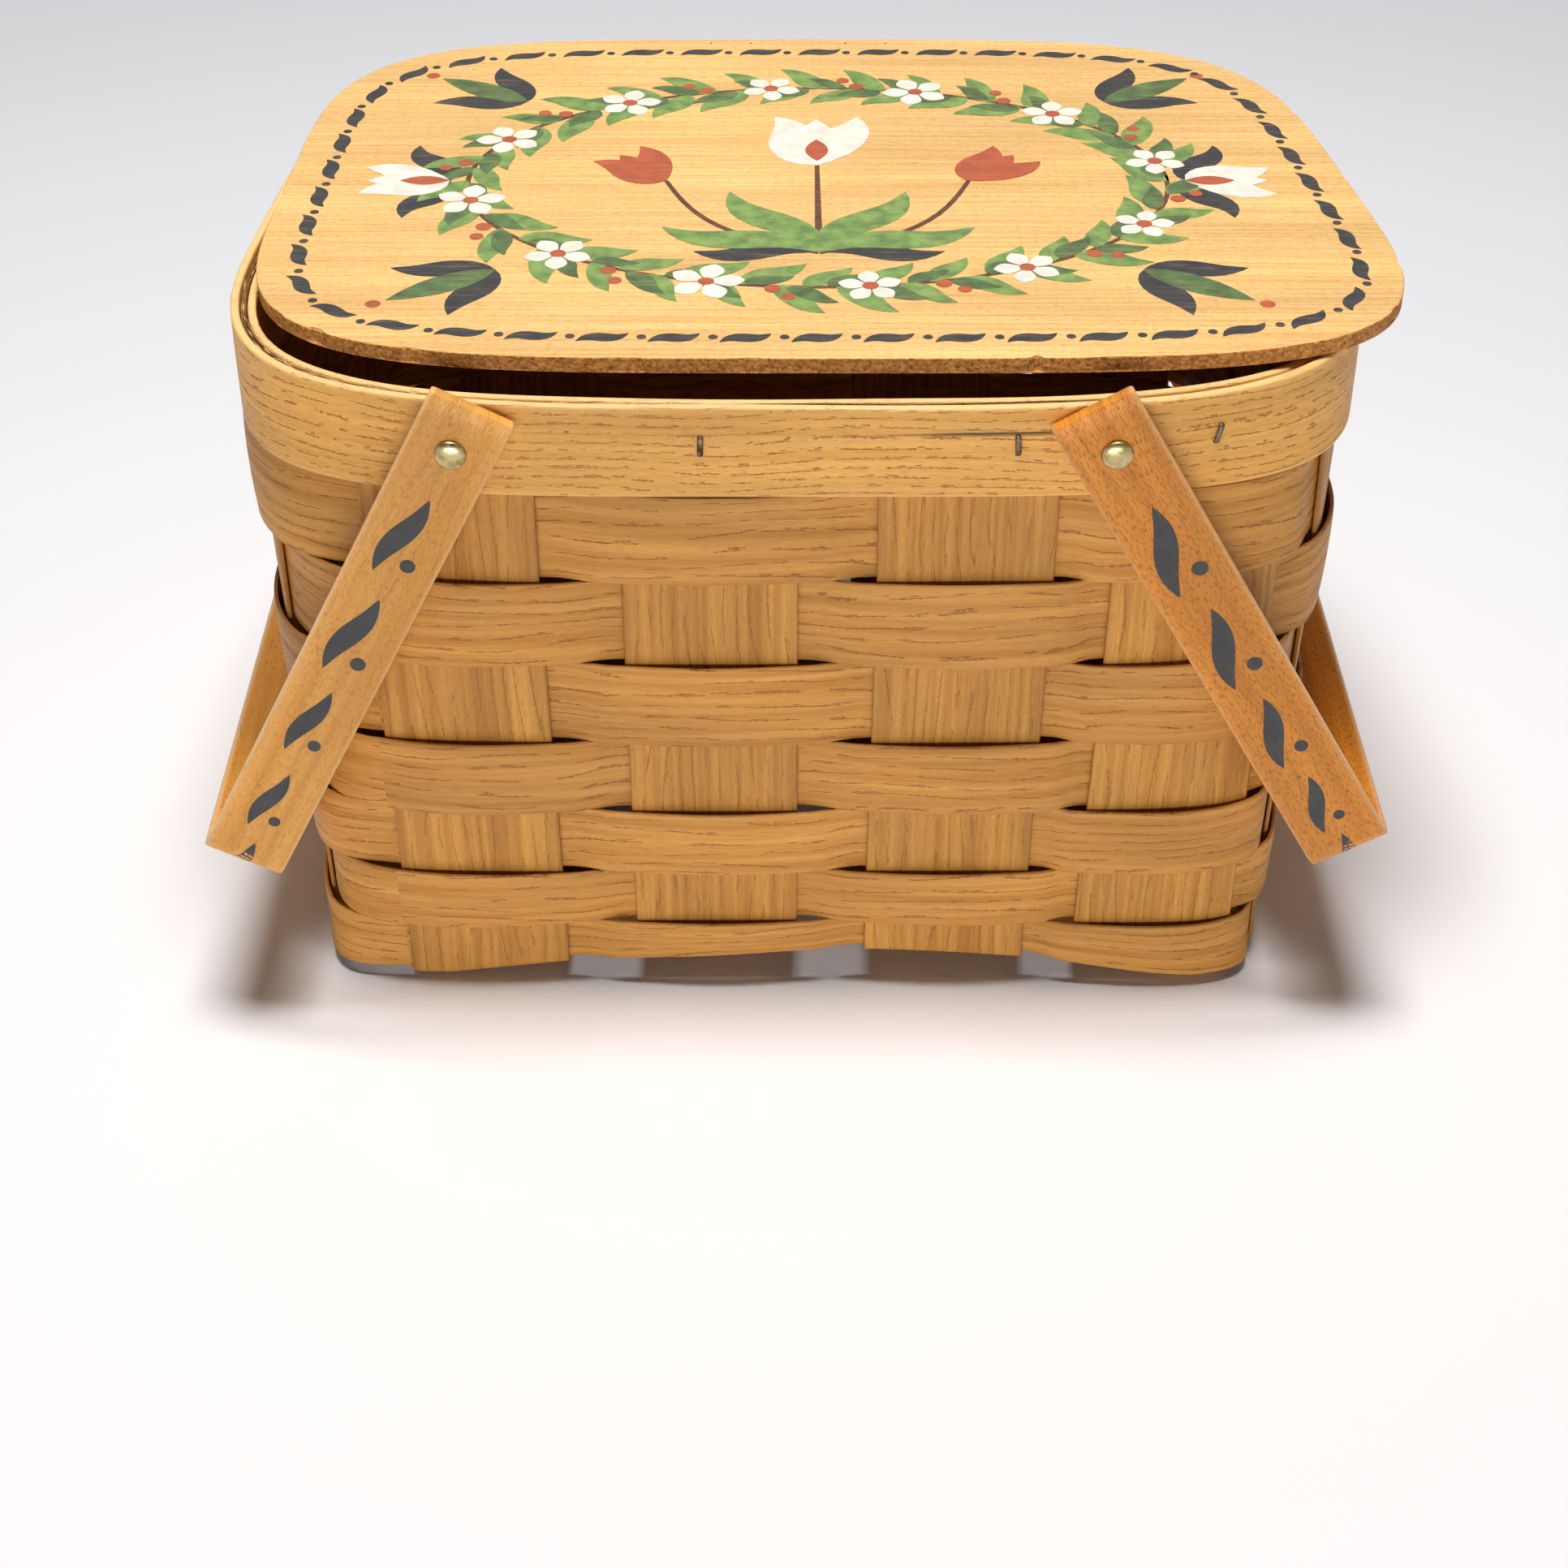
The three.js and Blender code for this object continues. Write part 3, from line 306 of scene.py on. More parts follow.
# Steam-bent beech: even, with small dark flecks and pale worn edges; the left handle is the paler one
PALE_BEECH = wood("pale_beech_bentwood", ("#EAA850", "#D8943A", "#7C460F", "#F2CC96"), edge_amount=0.6,
                  streak=(150, 5.5), ring=9.0, dash=5.0, pore_amount=0.2, tick_amount=0.24, roughness=0.45)
RED_BEECH = wood("red_beech_bentwood", ("#E59228", "#D27E1C", "#6E3808", "#EBBE84"), edge_amount=0.6,
                 streak=(150, 5.5), ring=9.0, dash=5.0, pore_amount=0.2, tick_amount=0.45, roughness=0.45)
# Varnished veneer with long fine grain, honey orange
LID_VENEER = wood("varnished_veneer", ("#FBCB80", "#E9B265", "#B07434", "#F2C58A"), edge_amount=0.38,
                  streak=(110, 1.7), ring=3.4, dash=6.0, pore_amount=0.3, tick_amount=0.26, roughness=0.38)
# Torn splint ends in the rim's slot: dry and browner
SPLINT_ENDS = wood("torn_splint_ends", ("#C4924C", "#7C5224", "#4E2E12", "#4E2E12"), edge_amount=0.38,
                   streak=(20, 1.2), ring=2.2, dash=6.0, pore_amount=0.7, tick_amount=0.5, roughness=0.7)
# Loose ash fibres: pale and dull
LOOSE_FIBRE = new_material("loose_ash_fibre", Base_Color=srgb("#DDB57A"), Roughness=0.8)[0]


def chipboard():
    """Raw edge of pressed wood chips: brown, speckled at about a millimetre, dull and rough."""
    material, tree, shader = new_material("raw_chipboard_edge", Roughness=0.85)
    place = add_node(tree, "ShaderNodeTexCoord").outputs["Object"]
    chips = add_node(tree, "ShaderNodeTexVoronoi", {"Vector": place, "Scale": 1 / (1.1 * MM)})
    tone = add_node(tree, "ShaderNodeSeparateColor", {0: chips.outputs["Color"]})
    colour = add_node(tree, "ShaderNodeMix", {0: tone, 6: srgb("#A4682C"), 7: srgb("#DD9C50")},
                      data_type="RGBA")
    holes = add_node(tree, "ShaderNodeTexNoise", {"Vector": place, "Scale": 1 / (1.6 * MM), "Detail": 2.0})
    mask = add_node(tree, "ShaderNodeMapRange", {0: holes, 1: 0.56, 2: 0.7, 3: 0.0, 4: 0.8})
    colour = add_node(tree, "ShaderNodeMix", {0: mask, 6: colour.outputs[2], 7: srgb("#6A4220")},
                      data_type="RGBA")
    tree.links.new(colour.outputs[2], shader.inputs["Base Color"])
    bump = add_node(tree, "ShaderNodeBump", {"Strength": 0.8, "Distance": 0.6 * MM, "Height": holes},
                    invert=True)
    tree.links.new(bump.outputs[0], shader.inputs["Normal"])
    return material


def paint(name, code, shade_code, wood_code, wear):
    """Flat craft paint, brushed on thin: a little mottled, with the wood showing through along its grain."""
    material, tree, shader = new_material(name, Roughness=0.55)
    grain = add_node(tree, "ShaderNodeUVMap", uv_map="grain").outputs["UV"]
    blotch = add_node(tree, "ShaderNodeTexNoise", {"Vector": grain, "Scale": 1 / 7.0, "Detail": 3.0})
    tone = add_node(tree, "ShaderNodeMapRange", {0: blotch, 1: 0.35, 2: 0.65})
    colour = add_node(tree, "ShaderNodeMix", {0: tone, 6: srgb(shade_code), 7: srgb(code)}, data_type="RGBA")
    along = add_node(tree, "ShaderNodeVectorMath", {0: grain, 1: (1 / 22.0, 1 / 0.7, 1)},
                     operation="MULTIPLY")
    lines = add_node(tree, "ShaderNodeTexNoise", {"Vector": along, "Scale": 1.0, "Detail": 2.0})
    worn = add_node(tree, "ShaderNodeMapRange", {0: lines, 1: 0.56, 2: 0.74, 3: 0.0, 4: wear})
    colour = add_node(tree, "ShaderNodeMix", {0: worn, 6: colour.outputs[2], 7: srgb(wood_code)},
                      data_type="RGBA")
    tree.links.new(colour.outputs[2], shader.inputs["Base Color"])
    bump = add_node(tree, "ShaderNodeBump", {"Strength": 0.3, "Distance": 0.1 * MM, "Height": lines})
    tree.links.new(bump.outputs[0], shader.inputs["Normal"])
    return material


HONEY = "#D8A25A"
BLACK_PAINT = paint("black_craft_paint", "#39393B", "#2C2C2E", HONEY, 0.35)
STENCIL_BLACK = paint("black_stencil_paint", "#3F3F41", "#343436", "#B97F45", 0.12)
CREAM_PAINT = paint("cream_craft_paint", "#EFE9DC", "#DFD8C8", HONEY, 0.3)
BRICK_PAINT = paint("brick_red_craft_paint", "#BC5A36", "#A9502F", HONEY, 0.35)
GREEN_PAINT = paint("leaf_green_craft_paint", "#86A356", "#5F7F42", HONEY, 0.4)
DARK_GREEN_PAINT = paint("dark_green_craft_paint", "#5E7A45", "#475C36", HONEY, 0.4)
BROWN_PAINT = paint("brown_craft_paint", "#6B3F27", "#553220", HONEY, 0.3)


def metal(name, code, dull_code, roughness, spot):
    """A worn metal: spots of tarnish about spot millimetres across, duller and rougher than the rest."""
    material, tree, shader = new_material(name, Metallic=1.0)
    place = add_node(tree, "ShaderNodeTexCoord").outputs["Object"]
    spots = add_node(tree, "ShaderNodeTexNoise", {"Vector": place, "Scale": 1 / (spot * MM), "Detail": 4.0})
    tarnish = add_node(tree, "ShaderNodeMapRange", {0: spots, 1: 0.4, 2: 0.65})
    colour = add_node(tree, "ShaderNodeMix", {0: tarnish, 6: srgb(code), 7: srgb(dull_code)},
                      data_type="RGBA")
    tree.links.new(colour.outputs[2], shader.inputs["Base Color"])
    rough = add_node(tree, "ShaderNodeMapRange", {0: tarnish, 3: roughness, 4: roughness + 0.25})
    tree.links.new(rough.outputs[0], shader.inputs["Roughness"])
    bump = add_node(tree, "ShaderNodeBump", {"Strength": 0.2, "Distance": 0.2 * MM, "Height": spots})
    tree.links.new(bump.outputs[0], shader.inputs["Normal"])
    return material


# Brass-plated rivets, pale and slightly greenish; dark steel wire; plated steel hinges
BRASS = metal("pale_brass_plate", "#C9B98A", "#9C8A56", 0.25, 3.0)
STAPLE_STEEL = metal("dark_staple_wire", "#8A7460", "#5A4432", 0.45, 2.0)
HINGE_STEEL = metal("plated_hinge_steel", "#A69A7C", "#7C6A48", 0.35, 4.0)


# The wall's middle surface: superellipse outlines, rounder and wider towards the rim

def outline_at(z):
    t = min(max((z - BEND_TOP) / (RIM_TOP - BEND_TOP), 0), 1)
    return (mix(BASE_LENGTH / 2 - SPLINT / 2, RIM_LENGTH / 2 - BAND_FACE, t),
            mix(BASE_DEPTH / 2 - SPLINT / 2, RIM_DEPTH / 2 - BAND_FACE, t),
            mix(BASE_ROUNDNESS, RIM_ROUNDNESS, math.sqrt(t)),
            mix(0, RIM_TAPER, t ** 2))


def superellipse(outline, angle):
    a, b, n, taper = outline
    c, s = np.cos(angle), np.sin(angle)
    r = (np.abs(c / a) ** n + np.abs(s / b) ** n) ** (-1 / n)
    return np.stack([r * c * (1 - taper * r * s / b), r * s], -1)


def outward(outline, points):
    a, b, n, taper = outline
    x, y = points[..., 0], points[..., 1]
    half = a * (1 - taper * y / b)
    gx = np.sign(x) * np.abs(x / half) ** (n - 1) / half
    gy = np.sign(y) * np.abs(y / b) ** (n - 1) / b + np.abs(x / half) ** n * taper * a / b / half
    slope = np.stack([gx, gy], -1)
    return slope / np.linalg.norm(slope, axis=-1, keepdims=True)


def point_at_x(outline, x, side):
    a, b, n, taper = outline
    y = side * b
    for _ in range(8):
        y = side * b * (1 - abs(x / (a * (1 - taper * y / b))) ** n) ** (1 / n)
    return np.array([x, y])


def point_at_y(outline, y, side):
    a, b, n, taper = outline
    return np.array([side * a * (1 - taper * y / b) * (1 - abs(y / b) ** n) ** (1 / n), y])


def rise_at(x, z):
    """How far the base, and less and less the wall above it, is raised between its ends."""
    start, end = BASE_FLAT_LEFT - BASE_LENGTH / 2, BASE_LENGTH / 2 - BASE_FLAT_RIGHT
    along = np.clip((x - start) / (end - start), 0, 1)
    fade = 1 - np.clip((z - BEND_TOP) / BASE_RISE_HEIGHT, 0, 1)
    return BASE_RISE * np.sin(np.pi * along) * fade ** 2


ROUND_SAMPLES = 2880
rounds = {}


def round_at(z):
    """The outline at a height, with the distance round it at each of many angles from the right middle."""
    key = round(z, 4)
    if key not in rounds:
        outline = outline_at(z)
        angles = np.linspace(0, 2 * np.pi, ROUND_SAMPLES + 1)
        rounds[key] = outline, angles, lengths_along(superellipse(outline, angles))
    return rounds[key]


def girth(z):
    """The whole distance round the wall at a height."""
    return round_at(z)[2][-1]


def distance_of(z, angle):
    _, angles, lengths = round_at(z)
    turns = math.floor(angle / (2 * math.pi))
    return turns * lengths[-1] + np.interp(angle - turns * 2 * math.pi, angles, lengths)


def wall_at(z, distance):
    """Points on the wall's middle surface at distances round it, and the outward directions there."""
    outline, angles, lengths = round_at(z)
    points = superellipse(outline, np.interp(np.mod(distance, lengths[-1]), lengths, angles))
    facing = outward(outline, points)
    x, y = points[:, 0], points[:, 1]
    return np.stack([x, y, z + rise_at(x, z)], -1), np.pad(facing, ((0, 0), (0, 1)))


# Where the stakes stand round the wall

first_long = -BASE_LENGTH / 2 + LEFT_MARGIN + STAKE_HALF
last_long = BASE_LENGTH / 2 - RIGHT_MARGIN - STAKE_HALF
long_x = [mix(first_long, last_long, k / (LONG_STAKES - 1)) + shift
          for k, shift in enumerate(LONG_STAKE_SHIFTS)]
first_cross = -BASE_DEPTH / 2 + FRONT_MARGIN + STAKE_HALF
cross_y = [mix(first_cross, -first_cross, k / (CROSS_STAKES - 1)) for k in range(CROSS_STAKES)]
base_outline, base_total = outline_at(BEND_TOP), girth(BEND_TOP)
stake_points = [point_at_x(base_outline, x, -1) for x in long_x]
stake_points += [point_at_y(base_outline, y, 1) for y in cross_y]
stake_points += [point_at_x(base_outline, x, 1) for x in reversed(long_x)]
stake_points += [point_at_y(base_outline, y, -1) for y in reversed(cross_y)]
base_start = math.atan2(-base_outline[1], -base_outline[0])
base_stakes = [distance_of(BEND_TOP, base_start + (math.atan2(p[1], p[0]) - base_start) % (2 * math.pi))
               for p in stake_points]


def stakes_within(start, end):
    copies = [centre + turn * base_total for centre in base_stakes for turn in (-1, 0, 1)]
    return sum(max(min(end, c + STAKE_HALF) - max(start, c - STAKE_HALF), 0) for c in copies)


def stake_centre(k, z):
    """In each quarter of the round, each gap between stakes keeps its share of what they leave free."""
    centre = base_stakes[k]
    quarter = math.floor(centre / (base_total / 4))
    base_from, base_to = (distance_of(BEND_TOP, q * math.pi / 2) for q in (quarter, quarter + 1))
    start, end = (distance_of(z, q * math.pi / 2) for q in (quarter, quarter + 1))
    taken = stakes_within(base_from, base_to)
    before = stakes_within(base_from, centre)
    spread = (end - start - taken) / (base_to - base_from - taken)
    return start + before + spread * (centre - base_from - before)


def stake_spans(z):
    reach = STAKE_HALF + WEAVER_LAP
    spans = [[stake_centre(k, z) - reach, stake_centre(k, z) + reach] for k in range(ALL_STAKES)]
    return np.array(spans + [[place + girth(z) for place in spans[0]]])


# Splints: flat strips with eased edges, which a Geometry Nodes tree lays on the wall, over and under

def section(width, thickness, radius, steps):
    """Places round the section of a strip, from its lower edge up the outer face and down the inner one."""
    turns = np.radians([0, 45, 90])
    edge_across = width / 2 - radius + radius * np.cos(turns)
    edge_skin = thickness / 2 - radius + radius * np.sin(turns)
    flat = width / 2 - 2 * radius
    across = np.concatenate([-edge_across, np.linspace(-flat, flat, steps + 1), edge_across[::-1]])
    skin = np.concatenate([edge_skin, np.full(steps + 1, thickness / 2), edge_skin[::-1]])
    return np.concatenate([across, across[::-1]]), np.concatenate([skin, -skin[::-1]])


def round_the_wall(middle, across, distances):
    """A strip's points on the wall and their outward directions, at each place across its width."""
    levels = {v: wall_at(middle + v, distances(middle + v)) for v in sorted(set(across))}
    return [np.stack([levels[v][k] for v in across], 1) for k in (0, 1)]


def strip_mesh(name, wall, out, skin, along, across, closed, grain_aside=0.0):
    """A strip from its stations: points of the surface it lies on, outward directions and distances out.

    along and across are the strip's own places in millimetres, which go into its grain map, shifted
    across the grain by grain_aside.
    """
    stations, places = wall.shape[:2]
    rows = np.arange(stations if closed else stations - 1)
    columns = np.arange(places)
    i, j = [index.ravel() for index in np.meshgrid(rows, columns, indexing="ij")]
    after, beside = (i + 1) % stations, (j + 1) % places
    quads = np.stack([i * places + j, after * places + j, after * places + beside, i * places + beside], -1)
    ends = np.concatenate([along, [2 * along[-1] - along[-2]]])
    aside = across + grain_aside
    grain = np.stack([np.stack([ends[i], ends[i + 1], ends[i + 1], ends[i]], -1),
                      np.stack([aside[j], aside[j], aside[beside], aside[beside]], -1)], -1)
    if not closed:
        k = np.arange(places // 2 - 1)
        cap = np.stack([k, k + 1, places - 2 - k, places - 1 - k], -1)
        quads = np.concatenate([quads, cap, cap[:, ::-1] + (stations - 1) * places])
        cap_grain = np.stack([np.full(cap.shape, along[0]), aside[cap]], -1)
        grain = np.concatenate([grain, cap_grain, cap_grain[:, ::-1]])
    skin = np.broadcast_to(skin, (stations, places))
    solid = (wall + out * skin[..., None]).reshape(-1, 3)
    corners = solid[quads]
    inside_out = np.einsum("ij,ij->", np.cross(corners[:, 0], corners[:, 1]), corners[:, 2]) < 0
    if inside_out:
        quads, grain = quads[:, ::-1], grain[:, ::-1]
    mesh = new_mesh(name, solid, quads.tolist(), smooth=True)
    mesh.uv_layers.new(name="grain").data.foreach_set("uv", grain.astype(np.float32).ravel())
    # How near each point is to an edge, for the edge tone: wear on the rim and handles, painted shade on the
    # weavers and stakes
    worn = np.clip((np.abs(across) - np.abs(across).max() + EDGE_WEAR_AND_SHADE) / EDGE_WEAR_AND_SHADE, 0, 1) ** 2
    set_float_attribute(mesh, "edge", "FLOAT", np.broadcast_to(worn, (stations, places)))
    set_float_attribute(mesh, "wall", "FLOAT_VECTOR", wall * MM)
    set_float_attribute(mesh, "out", "FLOAT_VECTOR", out)
    set_float_attribute(mesh, "skin", "FLOAT", skin * MM)
    return mesh


def over_and_under_tree():
    """Moves each point of a strip out from its wall: in front of one crossing splint, behind the next.

    The attribute turn counts the crossings, so the cosine of half turns is 1 in front and -1 behind;
    on_stake runs from 0 to 1 over each crossing, where the strip in front swells by Crown and, in the
    middle of its width, by Cup. woven is 0 where a strip keeps to the wall.
    """
    tree, given, result = new_geometry_tree("over_and_under", [
        ("Row", "NodeSocketFloat"), ("Lift", "NodeSocketFloat"), ("Crown", "NodeSocketFloat"),
        ("Cup", "NodeSocketFloat"), ("Material", "NodeSocketMaterial")])
    on_strip = {}
    for name, kind in (("turn", "FLOAT"), ("woven", "FLOAT"), ("on_stake", "FLOAT"), ("cup", "FLOAT"),
                       ("skin", "FLOAT"), ("out", "FLOAT_VECTOR"), ("wall", "FLOAT_VECTOR")):
        on_strip[name] = add_node(tree, "GeometryNodeInputNamedAttribute", {"Name": name}, data_type=kind)
    turns = add_node(tree, "ShaderNodeMath", {0: on_strip["turn"], 1: given["Row"]}, operation="ADD")
    turns = add_node(tree, "ShaderNodeMath", {0: turns, 1: math.pi}, operation="MULTIPLY")
    over = add_node(tree, "ShaderNodeMath", {0: turns}, operation="COSINE")
    over = add_node(tree, "ShaderNodeMath", {0: over, 1: on_strip["woven"]}, operation="MULTIPLY")
    in_front = add_node(tree, "ShaderNodeMath", {0: over, 1: 0.0}, operation="MAXIMUM")
    swell = add_node(tree, "ShaderNodeMath", {0: on_strip["on_stake"], 1: math.pi}, operation="MULTIPLY")
    swell = add_node(tree, "ShaderNodeMath", {0: swell}, operation="SINE")
    swell = add_node(tree, "ShaderNodeMath", {0: swell, 1: in_front}, operation="MULTIPLY")
    rise = add_node(tree, "ShaderNodeMath", {0: on_strip["cup"], 1: given["Cup"], 2: given["Crown"]},
                    operation="MULTIPLY_ADD")
    bulge = add_node(tree, "ShaderNodeMath", {0: swell, 1: rise}, operation="MULTIPLY")
    offset = add_node(tree, "ShaderNodeMath", {0: over, 1: given["Lift"], 2: bulge}, operation="MULTIPLY_ADD")
    offset = add_node(tree, "ShaderNodeMath", {0: offset, 1: on_strip["skin"]}, operation="ADD")
    out = add_node(tree, "ShaderNodeVectorMath", {0: on_strip["out"], "Scale": offset}, operation="SCALE")
    place = add_node(tree, "ShaderNodeVectorMath", {0: on_strip["wall"], 1: out}, operation="ADD")
    moved = add_node(tree, "GeometryNodeSetPosition", {"Geometry": given["Geometry"], "Position": place})
    return end_tree(tree, moved, given["Material"], result)


OVER_AND_UNDER = over_and_under_tree()


def splint(name, mesh, material, turn, on_stake, woven, cup, row, crown, cup_rise):
    for label, values in (("turn", turn), ("on_stake", on_stake), ("woven", woven), ("cup", cup)):
        set_float_attribute(mesh, label, "FLOAT", np.broadcast_to(values, len(mesh.vertices)))
    sizes = {"Row": float(row), "Lift": WEAVER_OFFSET * MM, "Crown": crown * MM, "Cup": cup_rise * MM,
             "Material": material}
    return run_tree(make_object(name, mesh), OVER_AND_UNDER, sizes)


def wobble(along, number, amount):
    """A slow unevenness along a hand-cut edge, different for each piece."""
    return amount * (np.sin(along / 41 + number * 1.7) + 0.6 * np.sin(along / 17.3 + number * 2.9)) / 1.6


def finish_piece(piece, body, slot, *nodes):
    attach(piece, body)
    if nodes:
        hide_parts(*nodes)


# Each piece takes its grain from another place in the wood
GRAIN_OFFSET, GRAIN_ASIDE = 613.0, 97.0
SPAN_STEPS, GAP_STEPS, GAP_STEP = 16, 5, 5.0
ROW_WOBBLE, WEAVER_CUP = 0.35, 0.7
row_levels = [BAND_BOTTOM]
for share in ROW_SHARES:
    row_height = share / sum(ROW_SHARES) * (BAND_BOTTOM - BEND_TOP + LAST_ROW_SINK)
    row_levels.append(row_levels[-1] - row_height)


def weaver(row):
    top, bottom = row_levels[row] - ROW_GAP / 2, row_levels[row + 1] + ROW_GAP / 2
    middle = (top + bottom) / 2
    across, skin = section(top - bottom, SPLINT, SPLINT_EASE, 8)
    crossing, share, in_gap = [], [], []
    middle_spans = stake_spans(middle)
    for k in range(ALL_STAKES):
        gap = middle_spans[k + 1][0] - middle_spans[k][1]
        gap_steps = max(GAP_STEPS, math.ceil(gap / GAP_STEP))
        crossing += [k] * (SPAN_STEPS + gap_steps)
        share += [i / SPAN_STEPS for i in range(SPAN_STEPS)] + [i / gap_steps for i in range(gap_steps)]
        in_gap += [False] * SPAN_STEPS + [True] * gap_steps
    crossing, share, in_gap = np.array(crossing), np.array(share), np.array(in_gap)

    def distances(z):
        spans = stake_spans(z)
        starts = np.where(in_gap, spans[crossing, 1], spans[crossing, 0])
        ends = np.where(in_gap, spans[crossing + 1, 0], spans[crossing, 1])
        return mix(starts, ends, share)

    along = distances(middle)
    wall, out = round_the_wall(middle, across, distances)
    share_across = across / np.abs(across).max()
    wall[..., 2] += wobble(along, row, ROW_WOBBLE)[:, None] * share_across
    name = f"weaver_row_{row + 1}"
    mesh = strip_mesh(f"{name}_splint", wall, out, skin, along + row * GRAIN_OFFSET, across, True)
    turn = np.repeat(crossing + np.where(in_gap, share, 0), len(across))
    on_stake = np.repeat(np.where(in_gap, 0, share), len(across))
    cup = np.tile(1 - share_across ** 2, len(along))
    made = splint(f"{name}_splint", mesh, ASH_WEAVER, turn, on_stake, 1.0, cup,
                  row + 1, WEAVER_CROWN, WEAVER_CUP)
    finish_piece(made, "basket", "weaver_splint", name)


for row in range(len(ROW_SHARES)):
    weaver(row)


UPRIGHT_STEP = 6.0
BEND_TURNS = np.radians([15, 30, 45, 60, 75, 90])
BASE_SPAN_STEPS, BASE_GAP_STEPS = 8, 6
stake_across, stake_skin = section(STAKE_WIDTH, SPLINT, SPLINT_EASE, 16)


def upright(k, direction, inwards):
    """Half a stake: down the wall and round the bend to where it lies flat, with outward directions."""
    levels = np.arange(STAKE_TOP, BEND_TOP, -UPRIGHT_STEP)
    wall, out = [], []
    for z in [*levels, BEND_TOP]:
        points, facing = wall_at(z, stake_centre(k, z) + direction * stake_across)
        wall.append(points)
        out.append(facing)
    for turn in BEND_TURNS:
        inset = STAKE_BEND * (1 - math.cos(turn))
        bent = points + np.array([*inwards, 0]) * inset
        bent[:, 2] = BEND_TOP - STAKE_BEND * math.sin(turn)
        bent[:, 2] += rise_at(bent[:, 0], bent[:, 2])
        wall.append(bent)
        out.append(facing * math.cos(turn) - np.array([0, 0, 1]) * math.sin(turn))
    return wall, out


def stake_piece(name, wall, out, number, turn, woven, row):
    wall, out = np.array(wall), np.array(out)
    places = len(stake_across)
    along = lengths_along(wall[:, places // 4])
    mesh = strip_mesh(f"{name}_splint", wall, out, stake_skin, along + number * GRAIN_OFFSET,
                      stake_across, False, number * GRAIN_ASIDE)
    made = splint(f"{name}_splint", mesh, ASH_STAKE, np.repeat(turn, places), 0.0,
                  np.repeat(woven, places), 0.0, row, 0.0, 0.0)
    finish_piece(made, "basket", "stake_splint", name)


for number in range(LONG_STAKES):
    opposite = 2 * LONG_STAKES + CROSS_STAKES - 1 - number
    front_wall, front_out = upright(number, 1, (0, 1))
    back_wall, back_out = upright(opposite, -1, (0, -1))
    flat = np.zeros(len(front_wall) + len(back_wall))
    stake_piece(f"long_stake_{number + 1}", front_wall + back_wall[::-1], front_out + back_out[::-1],
                number, flat, flat, 0)

for number in range(CROSS_STAKES):
    left_wall, left_out = upright(ALL_STAKES - 1 - number, -1, (1, 0))
    right_wall, right_out = upright(LONG_STAKES + number, 1, (-1, 0))
    base_wall, base_turn = [], []
    reach = STAKE_HALF + WEAVER_LAP
    y = cross_y[number] + stake_across
    for k, x in enumerate(long_x):
        on_stake = np.arange(BASE_SPAN_STEPS + 1) / BASE_SPAN_STEPS
        stations = [(mix(x - reach, x + reach, t), k) for t in on_stake]
        if k + 1 < LONG_STAKES:
            in_gap = np.arange(1, BASE_GAP_STEPS) / BASE_GAP_STEPS
            stations += [(mix(x + reach, long_x[k + 1] - reach, t), k + t) for t in in_gap]
        for place_x, turn in stations:
            level = BASE_PLANE + rise_at(place_x, BASE_PLANE)
            base_wall.append(np.stack([np.full_like(y, place_x), y, np.full_like(y, level)], -1))
            base_turn.append(turn)
    base_out = [np.tile([0.0, 0.0, -1.0], (len(stake_across), 1)) for _ in base_wall]
    turns = np.concatenate([np.zeros(len(left_wall)), base_turn, np.zeros(len(right_wall))])
    woven = np.concatenate([np.zeros(len(left_wall)), np.ones(len(base_wall)), np.zeros(len(right_wall))])
    stake_piece(f"cross_stake_{number + 1}", left_wall + base_wall + right_wall[::-1],
                left_out + base_out + right_out[::-1], LONG_STAKES + number, turns, woven, number)


# Rim: two bands with eased edges, and torn splint ends in the slot between them

RIM_STATIONS = 520
CRACK_Z, CRACK_FROM, CRACK_TO, CRACK_DEPTH, CRACK_WIDTH = 261.5, 24.0, 108.0, 1.8, 2.1
OUTER_WOBBLE, INNER_WOBBLE, FILLER_WOBBLE = 0.35, 0.4, 1.1


